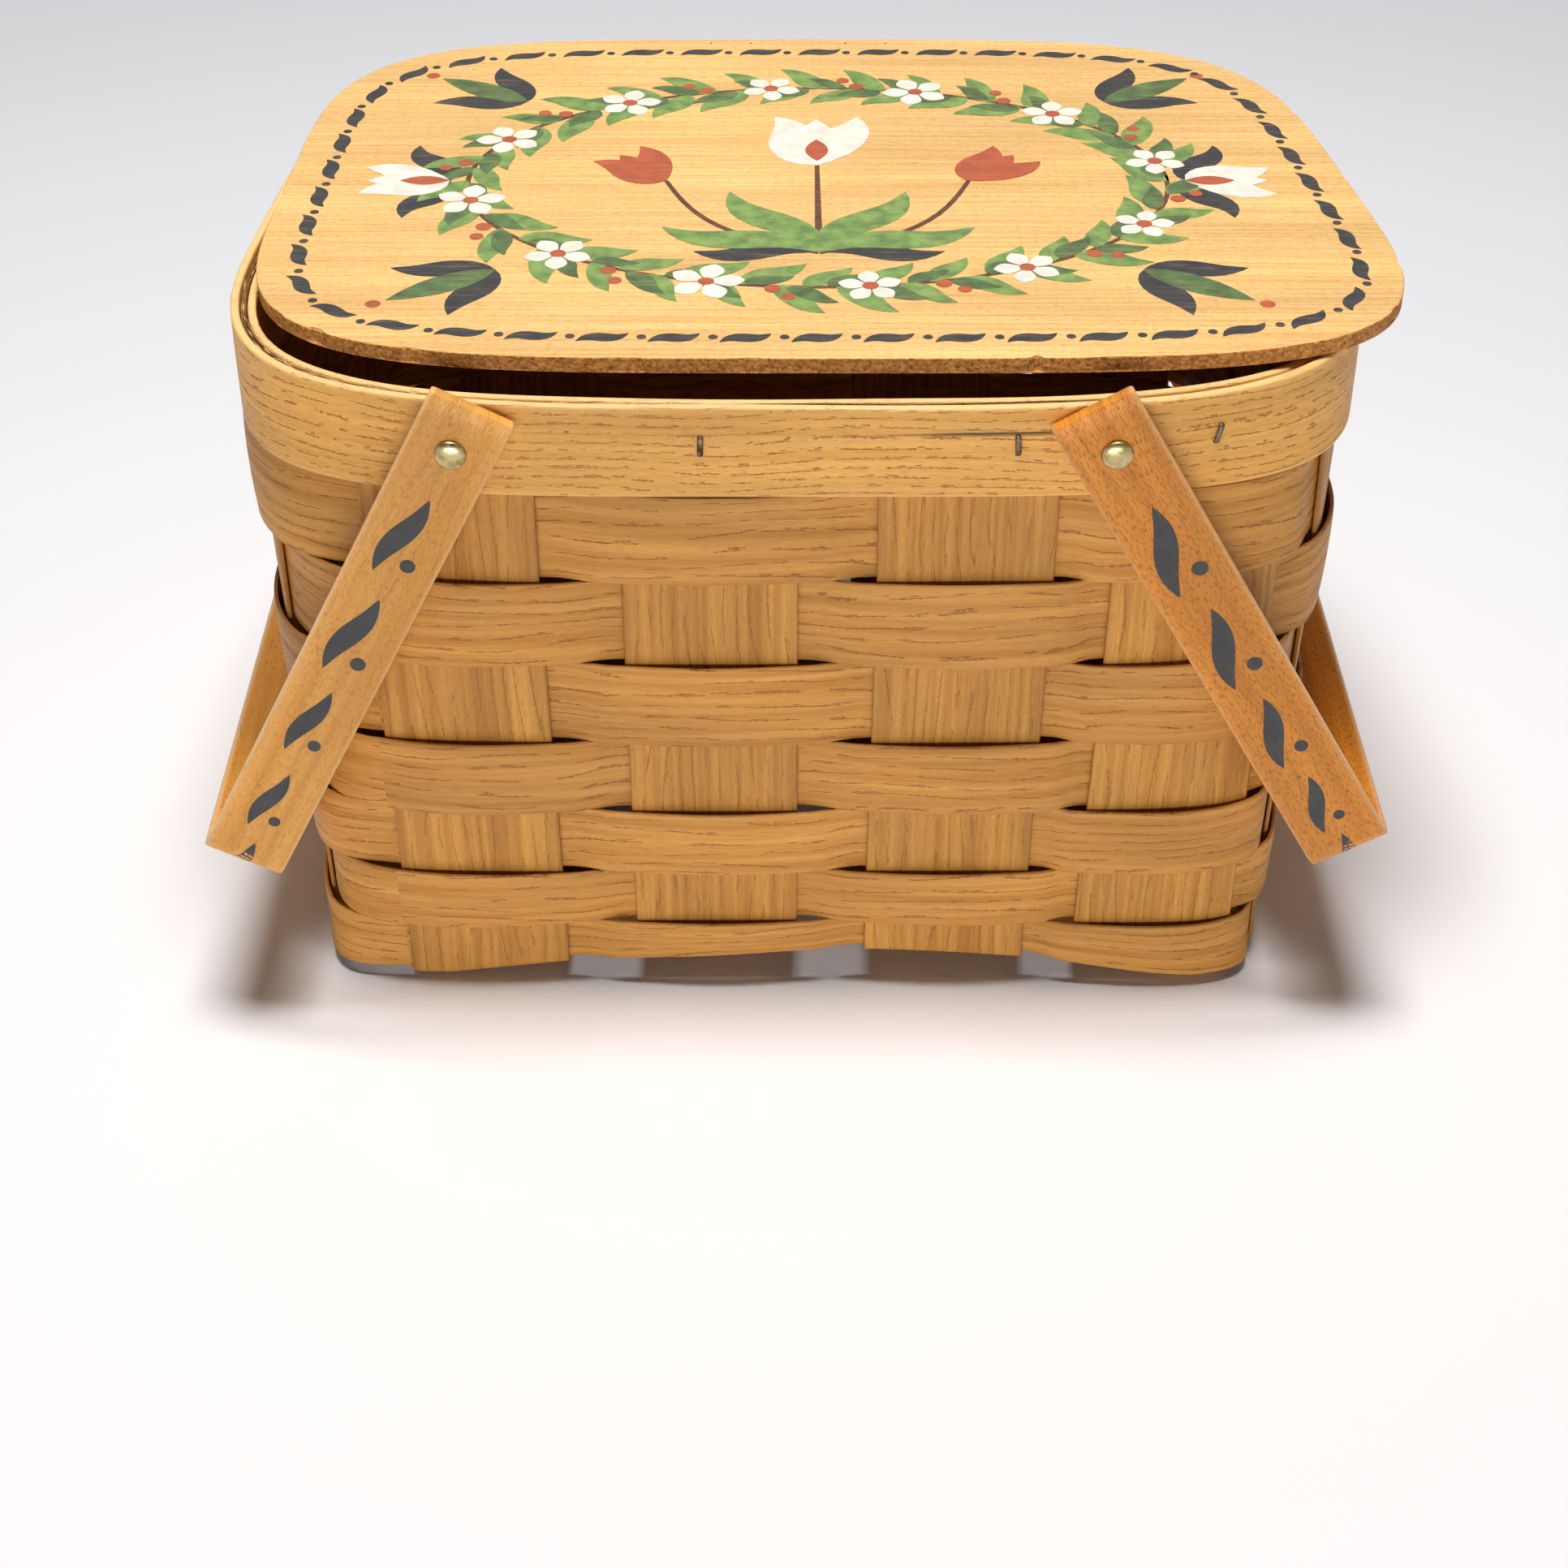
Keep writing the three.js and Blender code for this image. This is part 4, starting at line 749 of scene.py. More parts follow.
def hoop(name, bottom, top, inner, outer, ease, number, steps, uneven, crack=False):
    """A band round the wall, from inner to outer off the wall's middle; its top edge is uneven.

    A crack along it is a line of points pressed in between two others, which close up where it ends.
    """
    middle = (bottom + top) / 2
    across, skin = section(top - bottom, outer - inner, ease, steps)
    if crack:
        beside = np.array([-0.6, 0.0, 0.6]) * CRACK_WIDTH + CRACK_Z - middle
        at = np.searchsorted(across[:len(across) // 2], beside[0])
        across = np.insert(across, at, beside)
        skin = np.insert(skin, at, [(outer - inner) / 2] * 3)
        mirror = len(across) - at
        across = np.insert(across, mirror, beside[::-1])
        skin = np.insert(skin, mirror, [-(outer - inner) / 2] * 3)
    share = np.arange(RIM_STATIONS) / RIM_STATIONS
    along = share * girth(middle)
    wall, out = round_the_wall(middle, across, lambda z: share * girth(z))
    wall += out * (inner + outer) / 2
    wall[..., 2] += wobble(along, number, uneven)[:, None] * np.maximum(across, 0) / np.abs(across).max()
    skins = np.tile(skin, (RIM_STATIONS, 1))
    if crack:
        x = wall[:, at + 1, 0]
        t = np.clip((x - CRACK_FROM) / (CRACK_TO - CRACK_FROM), 0, 1)
        open_share = np.where(wall[:, at + 1, 1] < 0, np.sin(np.pi * t) ** 0.4 * t ** 0.7, 0)
        skins[:, at + 1] -= CRACK_DEPTH * open_share
        for side in (0, 2):
            wall[:, at + side, 2] += (side - 1) * (open_share - 1) * 0.4 * CRACK_WIDTH
    mesh = strip_mesh(name, wall, out, skins, along + number * GRAIN_OFFSET, across, True)
    if crack:
        # The middle line of the crack is painted dark as the shade inside it, darkest where it is open widest
        darkness = np.minimum(1, 2 * open_share)
        set_float_attribute(mesh, "split", "FLOAT", np.outer(darkness, np.arange(len(across)) == at + 1))
    return mesh


inner_top = RIM_TOP - INNER_BAND_DROP
outer_band = hoop("rim_outer_band_ash", BAND_BOTTOM, RIM_TOP, BAND_SEAT, BAND_FACE, BAND_EASE, 11, 12,
                  OUTER_WOBBLE, crack=True)
inner_band = hoop("rim_inner_band_ash", inner_top - INNER_BAND_HEIGHT, inner_top, -BAND_FACE, -BAND_SEAT,
                  BAND_EASE, 12, 10, INNER_WOBBLE)
for node, mesh in (("rim_outer_band", outer_band), ("rim_inner_band", inner_band)):
    mesh.materials.append(ASH_RIM)
    finish_piece(make_object(f"{node}_ash", mesh), "basket", "rim_wood", node)

filler_top = RIM_TOP - FILLER_DROP
filler_half = BAND_SEAT - SLOT_CLEARANCE
FILLER_LAYERS, LAYER_GAP, LAYER_STEP = 3, 0.06, 0.3
BROKEN_AT, BROKEN_SPREAD, BROKEN_DEPTH, BROKEN_FROM = math.radians(-38), 0.2, 5.0, 3.0


def broken_off(angles):
    """How far the splint ends have broken off below the rest, at the front right corner."""
    gap = np.angle(np.exp(1j * (angles - BROKEN_AT)))
    return BROKEN_DEPTH * np.exp(-(gap / BROKEN_SPREAD) ** 2)


for layer in range(FILLER_LAYERS):
    inner, outer = (mix(-filler_half, filler_half, (layer + side) / FILLER_LAYERS) for side in (0, 1))
    mesh = hoop(f"rim_filler_{layer + 1}", filler_top - FILLER_HEIGHT, filler_top - LAYER_STEP * layer,
                inner + LAYER_GAP, outer - LAYER_GAP, FILLER_EASE, 13 + layer, 2, FILLER_WOBBLE)
    spots = points_of(mesh) / MM
    at_top = spots[:, 2] > filler_top - BROKEN_FROM
    spots[at_top, 2] -= broken_off(np.arctan2(spots[at_top, 1], spots[at_top, 0]))
    move_points(mesh, spots)
    mesh.materials.append(SPLINT_ENDS)
    finish_piece(make_object(f"rim_filler_{layer + 1}", mesh), "basket", "stake_splint", "rim_filler")


# Fasteners, set at their places by a Geometry Nodes tree

def fasteners_tree():
    """A copy of a fastener at each point, turned as the point's facing attribute says."""
    tree, given, result = new_geometry_tree("fasteners_at_places", [
        ("Fastener", "NodeSocketObject"), ("Material", "NodeSocketMaterial")])
    turn = add_node(tree, "GeometryNodeInputNamedAttribute", {"Name": "facing"}, data_type="FLOAT_VECTOR")
    shape = add_node(tree, "GeometryNodeObjectInfo", {"Object": given["Fastener"]})
    copies = add_node(tree, "GeometryNodeInstanceOnPoints", {
        "Points": given["Geometry"], "Instance": shape.outputs["Geometry"], "Rotation": turn})
    return end_tree(tree, copies, given["Material"], result)


FASTENERS = fasteners_tree()


def set_fasteners(name, shape, places, turns, material):
    points = new_mesh(name, places)
    set_float_attribute(points, "facing", "FLOAT_VECTOR", turns)
    source = make_object(f"{name}_shape", shape)
    made = run_tree(make_object(name, points), FASTENERS, {"Fastener": source, "Material": material})
    bpy.data.objects.remove(source)
    return made


def revolved(name, profile, sides):
    """A closed solid of revolution about Z from (radius, height) pairs that start and end on the axis."""
    rings = [[(r * math.cos(a), r * math.sin(a), h) for a in np.arange(sides) * 2 * math.pi / sides]
             for r, h in profile[1:-1]]
    points = [(0, 0, profile[0][1]), *[p for ring in rings for p in ring], (0, 0, profile[-1][1])]
    last = len(points) - 1
    top_ring = last - sides
    faces = []
    for k in range(sides):
        after = (k + 1) % sides
        faces.append((0, 1 + after, 1 + k))
        faces.append((last, top_ring + k, top_ring + after))
        for ring in range(len(rings) - 1):
            low = 1 + ring * sides
            faces.append((low + k, low + after, low + sides + after, low + sides + k))
    return new_mesh(name, points, faces, smooth=True)


# Rivets: a low dome on a thin rim, a shank, and a burr inside; the head faces -Y in front and +Y at the back
HEAD_RIM, HEAD_EDGE, HEAD_EASE, HEAD_SINK, HEAD_CLEARANCE = 0.5, 0.15, 0.4, 0.1, 0.3
SHANK_RADIUS, BURR_RADIUS, BURR_HEIGHT, BURR_EASE = 2.1, 4.5, 1.2, 0.3
under_head = LEG_OUTER + HEAD_CLEARANCE
burr_end = -under_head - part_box("rivet_front_left")[1].y / MM
dome = [(RIVET_HEAD_RADIUS * math.cos(a), HEAD_RIM + (RIVET_HEAD_RISE - HEAD_RIM) * math.sin(a))
        for a in np.radians(np.linspace(12, 84, 9))]
rivet_profile = [
    (0, burr_end), (BURR_RADIUS - BURR_EASE, burr_end), (BURR_RADIUS, burr_end + BURR_EASE),
    (BURR_RADIUS, burr_end + BURR_HEIGHT), (SHANK_RADIUS, burr_end + BURR_HEIGHT), (SHANK_RADIUS, -HEAD_SINK),
    (RIVET_HEAD_RADIUS - HEAD_EASE, -HEAD_SINK), (RIVET_HEAD_RADIUS, HEAD_EDGE), *dome, (0, RIVET_HEAD_RISE)]
rivet_corners = [("front_left", -1, -1), ("front_right", 1, -1), ("back_left", -1, 1), ("back_right", 1, 1)]
rivets = set_fasteners("brass_rivets", revolved("rivet", rivet_profile, 40),
                       [(PIVOTS[sx].x, sy * under_head, PIVOT_Z) for _, sx, sy in rivet_corners],
                       [(-sy * math.pi / 2, 0, 0) for _, _, sy in rivet_corners], BRASS)
finish_piece(rivets, "basket", "brass", *[f"rivet_{corner}" for corner, _, _ in rivet_corners])

STAPLE_BEND, STAPLE_PROUD, STAPLE_LEG = 0.8, 0.3, 2.6


def staple_mesh():
    """Flattened wire bent to a flat crown with two legs into the wood; X points out of the rim."""
    half, radius, sides = STAPLE_HEIGHT / 2 - STAPLE_WIRE / 2, STAPLE_WIRE / 2, 10
    bend_x, bend_z = STAPLE_PROUD + radius - STAPLE_BEND, STAPLE_BEND - half
    path = [(-STAPLE_LEG, -half), (bend_x, -half)]
    path += [(bend_x + STAPLE_BEND * math.sin(a), bend_z - STAPLE_BEND * math.cos(a))
             for a in np.radians([22, 45, 68, 90])]
    path += [(x, -z) for x, z in reversed(path)]
    points, faces = [], []
    for k, (x, z) in enumerate(path):
        before, after = path[max(k - 1, 0)], path[min(k + 1, len(path) - 1)]
        direction = np.array([after[0] - before[0], after[1] - before[1]])
        direction /= np.linalg.norm(direction)
        for a in np.arange(sides) * 2 * math.pi / sides:
            side_x, side_z = direction[1] * math.cos(a) * radius, -direction[0] * math.cos(a) * radius
            points.append((x + side_x, math.sin(a) * STAPLE_WIRE_WIDTH / 2, z + side_z))
    for k in range(len(path) - 1):
        for s in range(sides):
            t = (s + 1) % sides
            faces.append((k * sides + s, k * sides + t, (k + 1) * sides + t, (k + 1) * sides + s))
    faces.append(tuple(reversed(range(sides))))
    faces.append(tuple(range((len(path) - 1) * sides, len(path) * sides)))
    return new_mesh("staple", points, faces, smooth=True)


staple_z = RIM_TOP - STAPLE_BELOW_TOP
staple_outline = outline_at(staple_z)
staple_places, staple_turns = [], []
for side, distance, lean in STAPLES:
    if side in ("front", "back"):
        on_wall = point_at_x(staple_outline, distance, -1 if side == "front" else 1)
    else:
        on_wall = point_at_y(staple_outline, distance, -1 if side == "left" else 1)
    facing = outward(staple_outline, on_wall)
    staple_places.append((*(on_wall + facing * BAND_FACE), staple_z))
    staple_turns.append((math.radians(-lean), 0, math.atan2(facing[1], facing[0])))
staples = set_fasteners("rim_staples", staple_mesh(), staple_places, staple_turns, STAPLE_STEEL)
finish_piece(staples, "basket", "steel", *[f"rim_staple_{k + 1}" for k in range(len(STAPLES))])


# Torn fibres that stand up a little in the rim's slot, most of them at the two front corners

def fibre_mesh(length, half_width):
    """A sliver with two points; Y runs along it."""
    ring = [(half_width, 0, 0), (0, 0, half_width), (-half_width, 0, 0), (0, 0, -half_width)]
    points = [(0, -length / 2, 0), *ring, (0, length / 2, 0)]
    faces = []
    for k in range(4):
        after = (k + 1) % 4
        faces += [(0, 1 + k, 1 + after), (5, 1 + after, 1 + k)]
    return new_mesh("fibre", points, faces)


FIBRES, FIBRE_LENGTH, FIBRE_HALF_WIDTH = 110, 8.0, 0.28
FIBRE_CORNERS, FIBRE_SPREAD = np.radians([318, 222]), 0.22
draw_fibre = np.random.default_rng(11)
fibre_numbers = np.arange(FIBRES)
all_round = draw_fibre.uniform(0, 2 * math.pi, FIBRES)
by_corners = draw_fibre.normal(FIBRE_CORNERS[fibre_numbers % 2], FIBRE_SPREAD)
fibre_angles = np.where(fibre_numbers % 5 == 0, all_round, by_corners)
fibre_wall, fibre_out = wall_at(filler_top, np.array([distance_of(filler_top, a) for a in fibre_angles]))
fibre_aside = draw_fibre.uniform(-0.8, 0.8, FIBRES) * filler_half
fibre_places = fibre_wall + fibre_out * fibre_aside[:, None]
fibre_places[:, 2] += draw_fibre.uniform(-0.4, 0.5, FIBRES) - broken_off(fibre_angles)
fibre_tilt = draw_fibre.normal(0, 0.1, FIBRES)
fibre_heading = np.arctan2(fibre_out[:, 1], fibre_out[:, 0]) + draw_fibre.normal(0, 0.07, FIBRES)
fibre_turns = np.stack([fibre_tilt, np.zeros(FIBRES), fibre_heading], -1)
fibre = fibre_mesh(FIBRE_LENGTH, FIBRE_HALF_WIDTH)
fibres = set_fasteners("rim_fibres", fibre, fibre_places, fibre_turns, LOOSE_FIBRE)
finish_piece(fibres, "basket", "stake_splint")


# Handles: a bent strip in its own frame, turned to where it hangs at rest

def rest_angle(side):
    """The angle at which the inner corner of the cross piece hangs by the fullest part of the wall."""
    low, high = 0.0, math.pi / 2
    for _ in range(24):
        angle = (low + high) / 2
        x, z = -HANDLE_WIDTH / 2, HANDLE_THICKNESS - HANDLE_REACH
        corner_x = x * math.cos(angle) - z * math.sin(angle)
        height = PIVOT_Z + x * math.sin(angle) + z * math.cos(angle)
        centres = np.array([stake_centre(k, height) for k in range(ALL_STAKES)])
        wall, out = wall_at(height, centres)
        fullest = np.abs(wall + out * (WEAVER_OFFSET + WEAVER_CROWN + SPLINT / 2))[:, 0].max()
        if abs(PIVOTS[side].x) + corner_x - fullest < HANDLE_OFF_WALL:
            low = angle
        else:
            high = angle
    return high


REST_ANGLES = {side: rest_angle(side) for side in (-1, 1)}
HANDLE_MIDDLE = LEG_OUTER - HANDLE_THICKNESS / 2
BEND_MIDDLE = HANDLE_BEND - HANDLE_THICKNESS / 2
HANDLE_STEP = 8.0
bend_y, bend_z = LEG_OUTER - HANDLE_BEND, HANDLE_BEND - HANDLE_REACH


def handle_path():
    """The strip's middle line from its front tail to its back tail: points (y, z) and outward (y, z)."""
    points, facing = [], []
    for z in np.arange(FRONT_TAIL, bend_z, -HANDLE_STEP):
        points.append((-HANDLE_MIDDLE, z))
        facing.append((-1, 0))
    for a in np.radians(np.linspace(180, 270, 13)):
        points.append((-bend_y + BEND_MIDDLE * math.cos(a), bend_z + BEND_MIDDLE * math.sin(a)))
        facing.append((math.cos(a), math.sin(a)))
    for y in np.linspace(-bend_y, bend_y, 32)[1:-1]:
        points.append((y, bend_z - BEND_MIDDLE))
        facing.append((0, -1))
    for a in np.radians(np.linspace(270, 360, 13)):
        points.append((bend_y + BEND_MIDDLE * math.cos(a), bend_z + BEND_MIDDLE * math.sin(a)))
        facing.append((math.cos(a), math.sin(a)))
    for z in np.arange(bend_z + HANDLE_STEP, BACK_TAIL, HANDLE_STEP):
        points.append((HANDLE_MIDDLE, z))
        facing.append((1, 0))
    points.append((HANDLE_MIDDLE, BACK_TAIL))
    facing.append((1, 0))
    return np.array(points), np.array(facing, float)


handle_points, handle_facing = handle_path()
handle_along = lengths_along(handle_points)


def handle_at(places):
    """The middle line at places along it: points (y, z) and outward (y, z)."""
    return [[np.interp(places, handle_along, line[:, k]) for k in (0, 1)]
            for line in (handle_points, handle_facing)]


def hang(side, local):
    """Turns places in a handle's own frame to where it hangs at rest."""
    angle = -side * REST_ANGLES[side]
    x, y, z = local[..., 0], local[..., 1], local[..., 2]
    return np.stack([x * math.cos(angle) + z * math.sin(angle) + PIVOTS[side].x, y,
                     -x * math.sin(angle) + z * math.cos(angle) + PIVOT_Z], -1)


def on_handle(side, along, across, lift):
    """Points of a hanging handle's outer face at places along and across it, lifted off by a little."""
    (y, z), (out_y, out_z) = handle_at(along)
    reach = HANDLE_THICKNESS / 2 + lift
    return hang(side, np.stack([across, y + out_y * reach, z + out_z * reach], -1))


HANDLES = (("handle_left", -1, "left_handle", PALE_BEECH), ("handle_right", 1, "right_handle", RED_BEECH))
END_EASE = 0.6
handle_across, handle_skin = section(HANDLE_WIDTH, HANDLE_THICKNESS, HANDLE_EASE, 8)
handle_end = handle_along[-1]
handle_places = np.concatenate([[0, END_EASE], handle_along[1:-1], [handle_end - END_EASE, handle_end]])
(handle_y, handle_z), (facing_y, facing_z) = handle_at(handle_places)


def eased_ends(size):
    """Shares of a size along the strip: all of it, but for a little less at the two ends."""
    shares = np.ones((len(handle_places), 1))
    shares[[0, -1]] = 1 - 2 * END_EASE / size
    return shares


for number, (node, side, body, bentwood) in enumerate(HANDLES):
    local = np.stack(np.broadcast_arrays(eased_ends(HANDLE_WIDTH) * handle_across, handle_y[:, None],
                                         handle_z[:, None]), -1)
    turned = hang(side, np.stack([0 * facing_y, facing_y, facing_z], -1)) - hang(side, np.zeros(3))
    out = np.repeat(turned[:, None], len(handle_across), 1)
    mesh = strip_mesh(f"{node}_bentwood", hang(side, local), out, eased_ends(HANDLE_THICKNESS) * handle_skin,
                      handle_places + number * GRAIN_OFFSET, handle_across, False)
    mesh.materials.append(bentwood)
    finish_piece(make_object(f"{node}_bentwood", mesh), body, "handle_wood", node)


# Painted marks: each is a film made of blades, strips with a spine and a width that swells and narrows

FILM, STROKE_STEP, POINT_HALF_WIDTH = 0.1, 0.012, 0.03


def blade(spine, half_widths):
    """Three lines of places along a painted stroke: left edge, spine and right edge."""
    spine = np.array(spine, float)
    direction = np.gradient(spine, axis=0)
    direction /= np.linalg.norm(direction, axis=1, keepdims=True)
    side = np.stack([-direction[:, 1], direction[:, 0]], -1)
    widths = np.maximum(half_widths, POINT_HALF_WIDTH)[:, None]
    return np.stack([spine + side * widths, spine, spine - side * widths], 1)


def leaf_blade(length, width, bend, steps=12, middle=0.5):
    """A pointed leaf along X from the origin, widest at middle, bent to an S by bend."""
    t = np.linspace(0, 1, steps + 1)
    spine = np.stack([t * length, bend * np.sin(2 * np.pi * t)], -1)
    swell = np.sin(np.pi * t ** (math.log(0.5) / math.log(middle))) ** 0.85
    return blade(spine, swell * width / 2)


def dot_blade(x, y, radius, steps=8):
    turn = np.linspace(0, math.pi, steps + 1)
    spine = np.stack([x - radius * np.cos(turn), np.full_like(turn, y)], -1)
    return blade(spine, radius * np.sin(turn))


def placed(shape, x, y, turn, scale=1.0):
    """A shape made larger by scale, turned and moved on the plane."""
    c, s = math.cos(turn) * scale, math.sin(turn) * scale
    shape_x, shape_y = shape[..., 0], shape[..., 1]
    return np.stack([shape_x * c - shape_y * s + x, shape_x * s + shape_y * c + y], -1)


def film_mesh(name, blades, lift=FILM):
    """Closed thin films from blades in the plane, in millimetres, from just under the surface up to lift.

    Each stroke lies a hair above the one before, so that they overlap as brush strokes do.
    """
    points, faces = [], []
    for number, shape in enumerate(blades):
        rows = len(shape)
        start = len(points)
        for height in (lift + number * STROKE_STEP, -FILM):
            points += [(x, y, height) for x, y in shape.reshape(-1, 2)]
        under = rows * 3
        for i in range(rows - 1):
            a, b = start + i * 3, start + i * 3 + 3
            for j in (0, 1):
                faces.append((a + j, a + j + 1, b + j + 1, b + j))
                faces.append((under + a + j, under + b + j, under + b + j + 1, under + a + j + 1))
            faces.append((a, b, under + b, under + a))
            faces.append((a + 2, under + a + 2, under + b + 2, b + 2))
        first, last = start, start + (rows - 1) * 3
        for j in (0, 1):
            faces.append((first + j, under + first + j, under + first + j + 1, first + j + 1))
            faces.append((last + j, last + j + 1, under + last + j + 1, under + last + j))
    return new_mesh(name, points, faces, unit=1)


def grain_from_plane(mesh):
    """Gives a flat film the grain map of the wood under it: its own X and Y in millimetres."""
    corners = np.zeros(len(mesh.loops), np.int32)
    mesh.loops.foreach_get("vertex_index", corners)
    layer = mesh.uv_layers.get("grain") or mesh.uv_layers.new(name="grain")
    layer.data.foreach_set("uv", points_of(mesh)[corners, :2].astype(np.float32).ravel())


def motif_row_tree():
    """A copy of a painted motif at each point, as large as the point's size attribute says."""
    tree, given, result = new_geometry_tree("motif_row", [
        ("Motif", "NodeSocketObject"), ("Material", "NodeSocketMaterial")])
    shape = add_node(tree, "GeometryNodeObjectInfo", {"Object": given["Motif"]})
    size = add_node(tree, "GeometryNodeInputNamedAttribute", {"Name": "size"}, data_type="FLOAT")
    copies = add_node(tree, "GeometryNodeInstanceOnPoints", {
        "Points": given["Geometry"], "Instance": shape.outputs["Geometry"], "Scale": size})
    return end_tree(tree, copies, given["Material"], result)


MOTIF_ROW = motif_row_tree()

# Leaf-and-dot stencil down each handle: X of the motif runs down the leg, Y to the left seen from outside
LEAF_LENGTH, LEAF_WIDTH, LEAF_BEND, LEAF_LEAN, LEAF_SIDE = 39.0, 8.8, -1.3, math.radians(11), 2.7
DOT_RADIUS, DOT_DOWN, DOT_SIDE = 3.0, 11.6, -4.8
# Place of each leaf below the end of the strip, and its size; the last one goes round the bend
STENCIL_ROWS = {"handle_left": ((37.5, 0.92), (83.6, 0.95), (126.2, 0.82), (166.6, 0.75), (202.5, 0.75)),
                "handle_right": ((44.0, 1.0), (91.0, 0.95), (134.0, 0.86), (172.0, 0.72), (203.0, 0.72))}
stencil_leaf = leaf_blade(LEAF_LENGTH, LEAF_WIDTH, LEAF_BEND, 16) - np.array([LEAF_LENGTH / 2, 0])
stencil_leaf = placed(stencil_leaf, 0, LEAF_SIDE, LEAF_LEAN)
stencil = film_mesh("leaf_and_dot", [stencil_leaf, dot_blade(DOT_DOWN, DOT_SIDE, DOT_RADIUS)])
stencil_source = make_object("leaf_and_dot", stencil)
for node, side, body, _ in HANDLES:
    row = new_mesh(f"{node}_stencil", [(FRONT_TAIL + place, 0, 0) for place, _ in STENCIL_ROWS[node]], unit=1)
    set_float_attribute(row, "size", "FLOAT", [size for _, size in STENCIL_ROWS[node]])
    piece = run_tree(make_object(f"{node}_stencil", row), MOTIF_ROW, {
        "Motif": stencil_source, "Material": STENCIL_BLACK})
    grain_from_plane(piece.data)
    flat = points_of(piece.data)
    move_points(piece.data, on_handle(side, flat[:, 0], -flat[:, 1], flat[:, 2]))
    finish_piece(piece, body, "handle_wood")
bpy.data.objects.remove(stencil_source)


# Lid: a chipboard with a veneered top, its edge raw and a little chipped

lid_form = (RIM_LENGTH / 2 + LID_END_OVERHANG, (RIM_DEPTH - LID_FRONT_INSET - LID_BACK_INSET) / 2,
            LID_ROUNDNESS, LID_TAPER)
lid_y = (LID_FRONT_INSET - LID_BACK_INSET) / 2
lid_bottom = LID_TOP - LID_THICKNESS
LID_STATIONS = 900
CHIPS, GRIT = 26, 0.22
# Two nicks in the front edge, by the places they are nearest to
NICK_DEPTH, NICK_WIDTH = 2.0, 1.2
NICKS = ((82.0, -136.0), (-165.0, -112.0))
# Down the edge: depth of the veneer's levels with their inset and share of each chip, then the raw board's
VENEER_EDGE = ((0.0, 0.9, 0.6), (0.12, 0.3, 0.8), (0.35, 0.08, 1.0))
BOARD_EDGE, BOARD_INSET, BOARD_CHIPS = (0.7, 1.5, 2.4, 3.3, 4.2, 5.1), 0.12, 0.5
UNDER_EDGE = ((0.35, 0.15), (0.0, 0.6))


def lid_edge(inset):
    """The lid's outline, drawn in by an inset, evenly spaced round it."""
    angles = np.linspace(0, 2 * np.pi, 4 * LID_STATIONS + 1)
    lengths = lengths_along(superellipse(lid_form, angles))
    even = np.interp(np.arange(LID_STATIONS) / LID_STATIONS * lengths[-1], lengths, angles)
    points = superellipse(lid_form, even)
    points = points - outward(lid_form, points) * np.reshape(inset, (-1, 1))
    return np.stack([points[:, 0] + LID_SKEW * points[:, 1] + LID_SHIFT_X, points[:, 1] + lid_y], -1)


def lid_mesh():
    """The board in levels from its top down, each with an inset that chips and grit make uneven."""
    draw = np.random.default_rng(7)
    stations = np.arange(LID_STATIONS)
    chips = np.zeros(LID_STATIONS)
    for at in draw.integers(0, LID_STATIONS, CHIPS):
        width = draw.uniform(1.5, 5)
        gap = np.abs(stations - at)
        gap = np.minimum(gap, LID_STATIONS - gap)
        chips += draw.uniform(0.2, 0.8) * np.exp(-(gap / width) ** 2)
    for nick in NICKS:
        gap = np.linalg.norm(lid_edge(np.zeros(LID_STATIONS)) - nick, axis=1)
        chips += NICK_DEPTH * np.exp(-((gap - gap.min()) / NICK_WIDTH) ** 2)
    levels = [(LID_TOP - depth, inset + share * chips) for depth, inset, share in VENEER_EDGE]
    for depth in BOARD_EDGE:
        grit = np.convolve(draw.normal(0, GRIT, LID_STATIONS + 4), [0.25, 0.5, 0.25], "same")[2:-2]
        levels.append((LID_TOP - depth, BOARD_INSET + BOARD_CHIPS * chips + np.abs(grit)))
    levels += [(lid_bottom + height, np.full(LID_STATIONS, inset)) for height, inset in UNDER_EDGE]
    points = np.array([(x, y, z) for z, inset in levels for x, y in lid_edge(inset)])
    faces = [tuple(range(LID_STATIONS))]
    for level in range(len(levels) - 1):
        upper, lower = level * LID_STATIONS, (level + 1) * LID_STATIONS
        for k in range(LID_STATIONS):
            after = (k + 1) % LID_STATIONS
            faces.append((upper + k, lower + k, lower + after, upper + after))
    faces.append(tuple(reversed(range((len(levels) - 1) * LID_STATIONS, len(levels) * LID_STATIONS))))
    mesh = new_mesh("lid_board", points, faces, unit=1)
    grain_from_plane(mesh)
    move_points(mesh, points)
    veneer_faces = 1 + LID_STATIONS
    index = np.ones(len(faces), np.int32)
    index[:veneer_faces] = 0
    index[-1] = 0
    mesh.polygons.foreach_set("material_index", index)
    for material in (LID_VENEER, chipboard()):
        mesh.materials.append(material)
    return mesh


finish_piece(make_object("lid_board", lid_mesh()), "lid", "lid_board", "lid")


# Folk painting on the lid: a leaf-and-dot border, a leafy wreath with blossoms, and tulips in and beside it

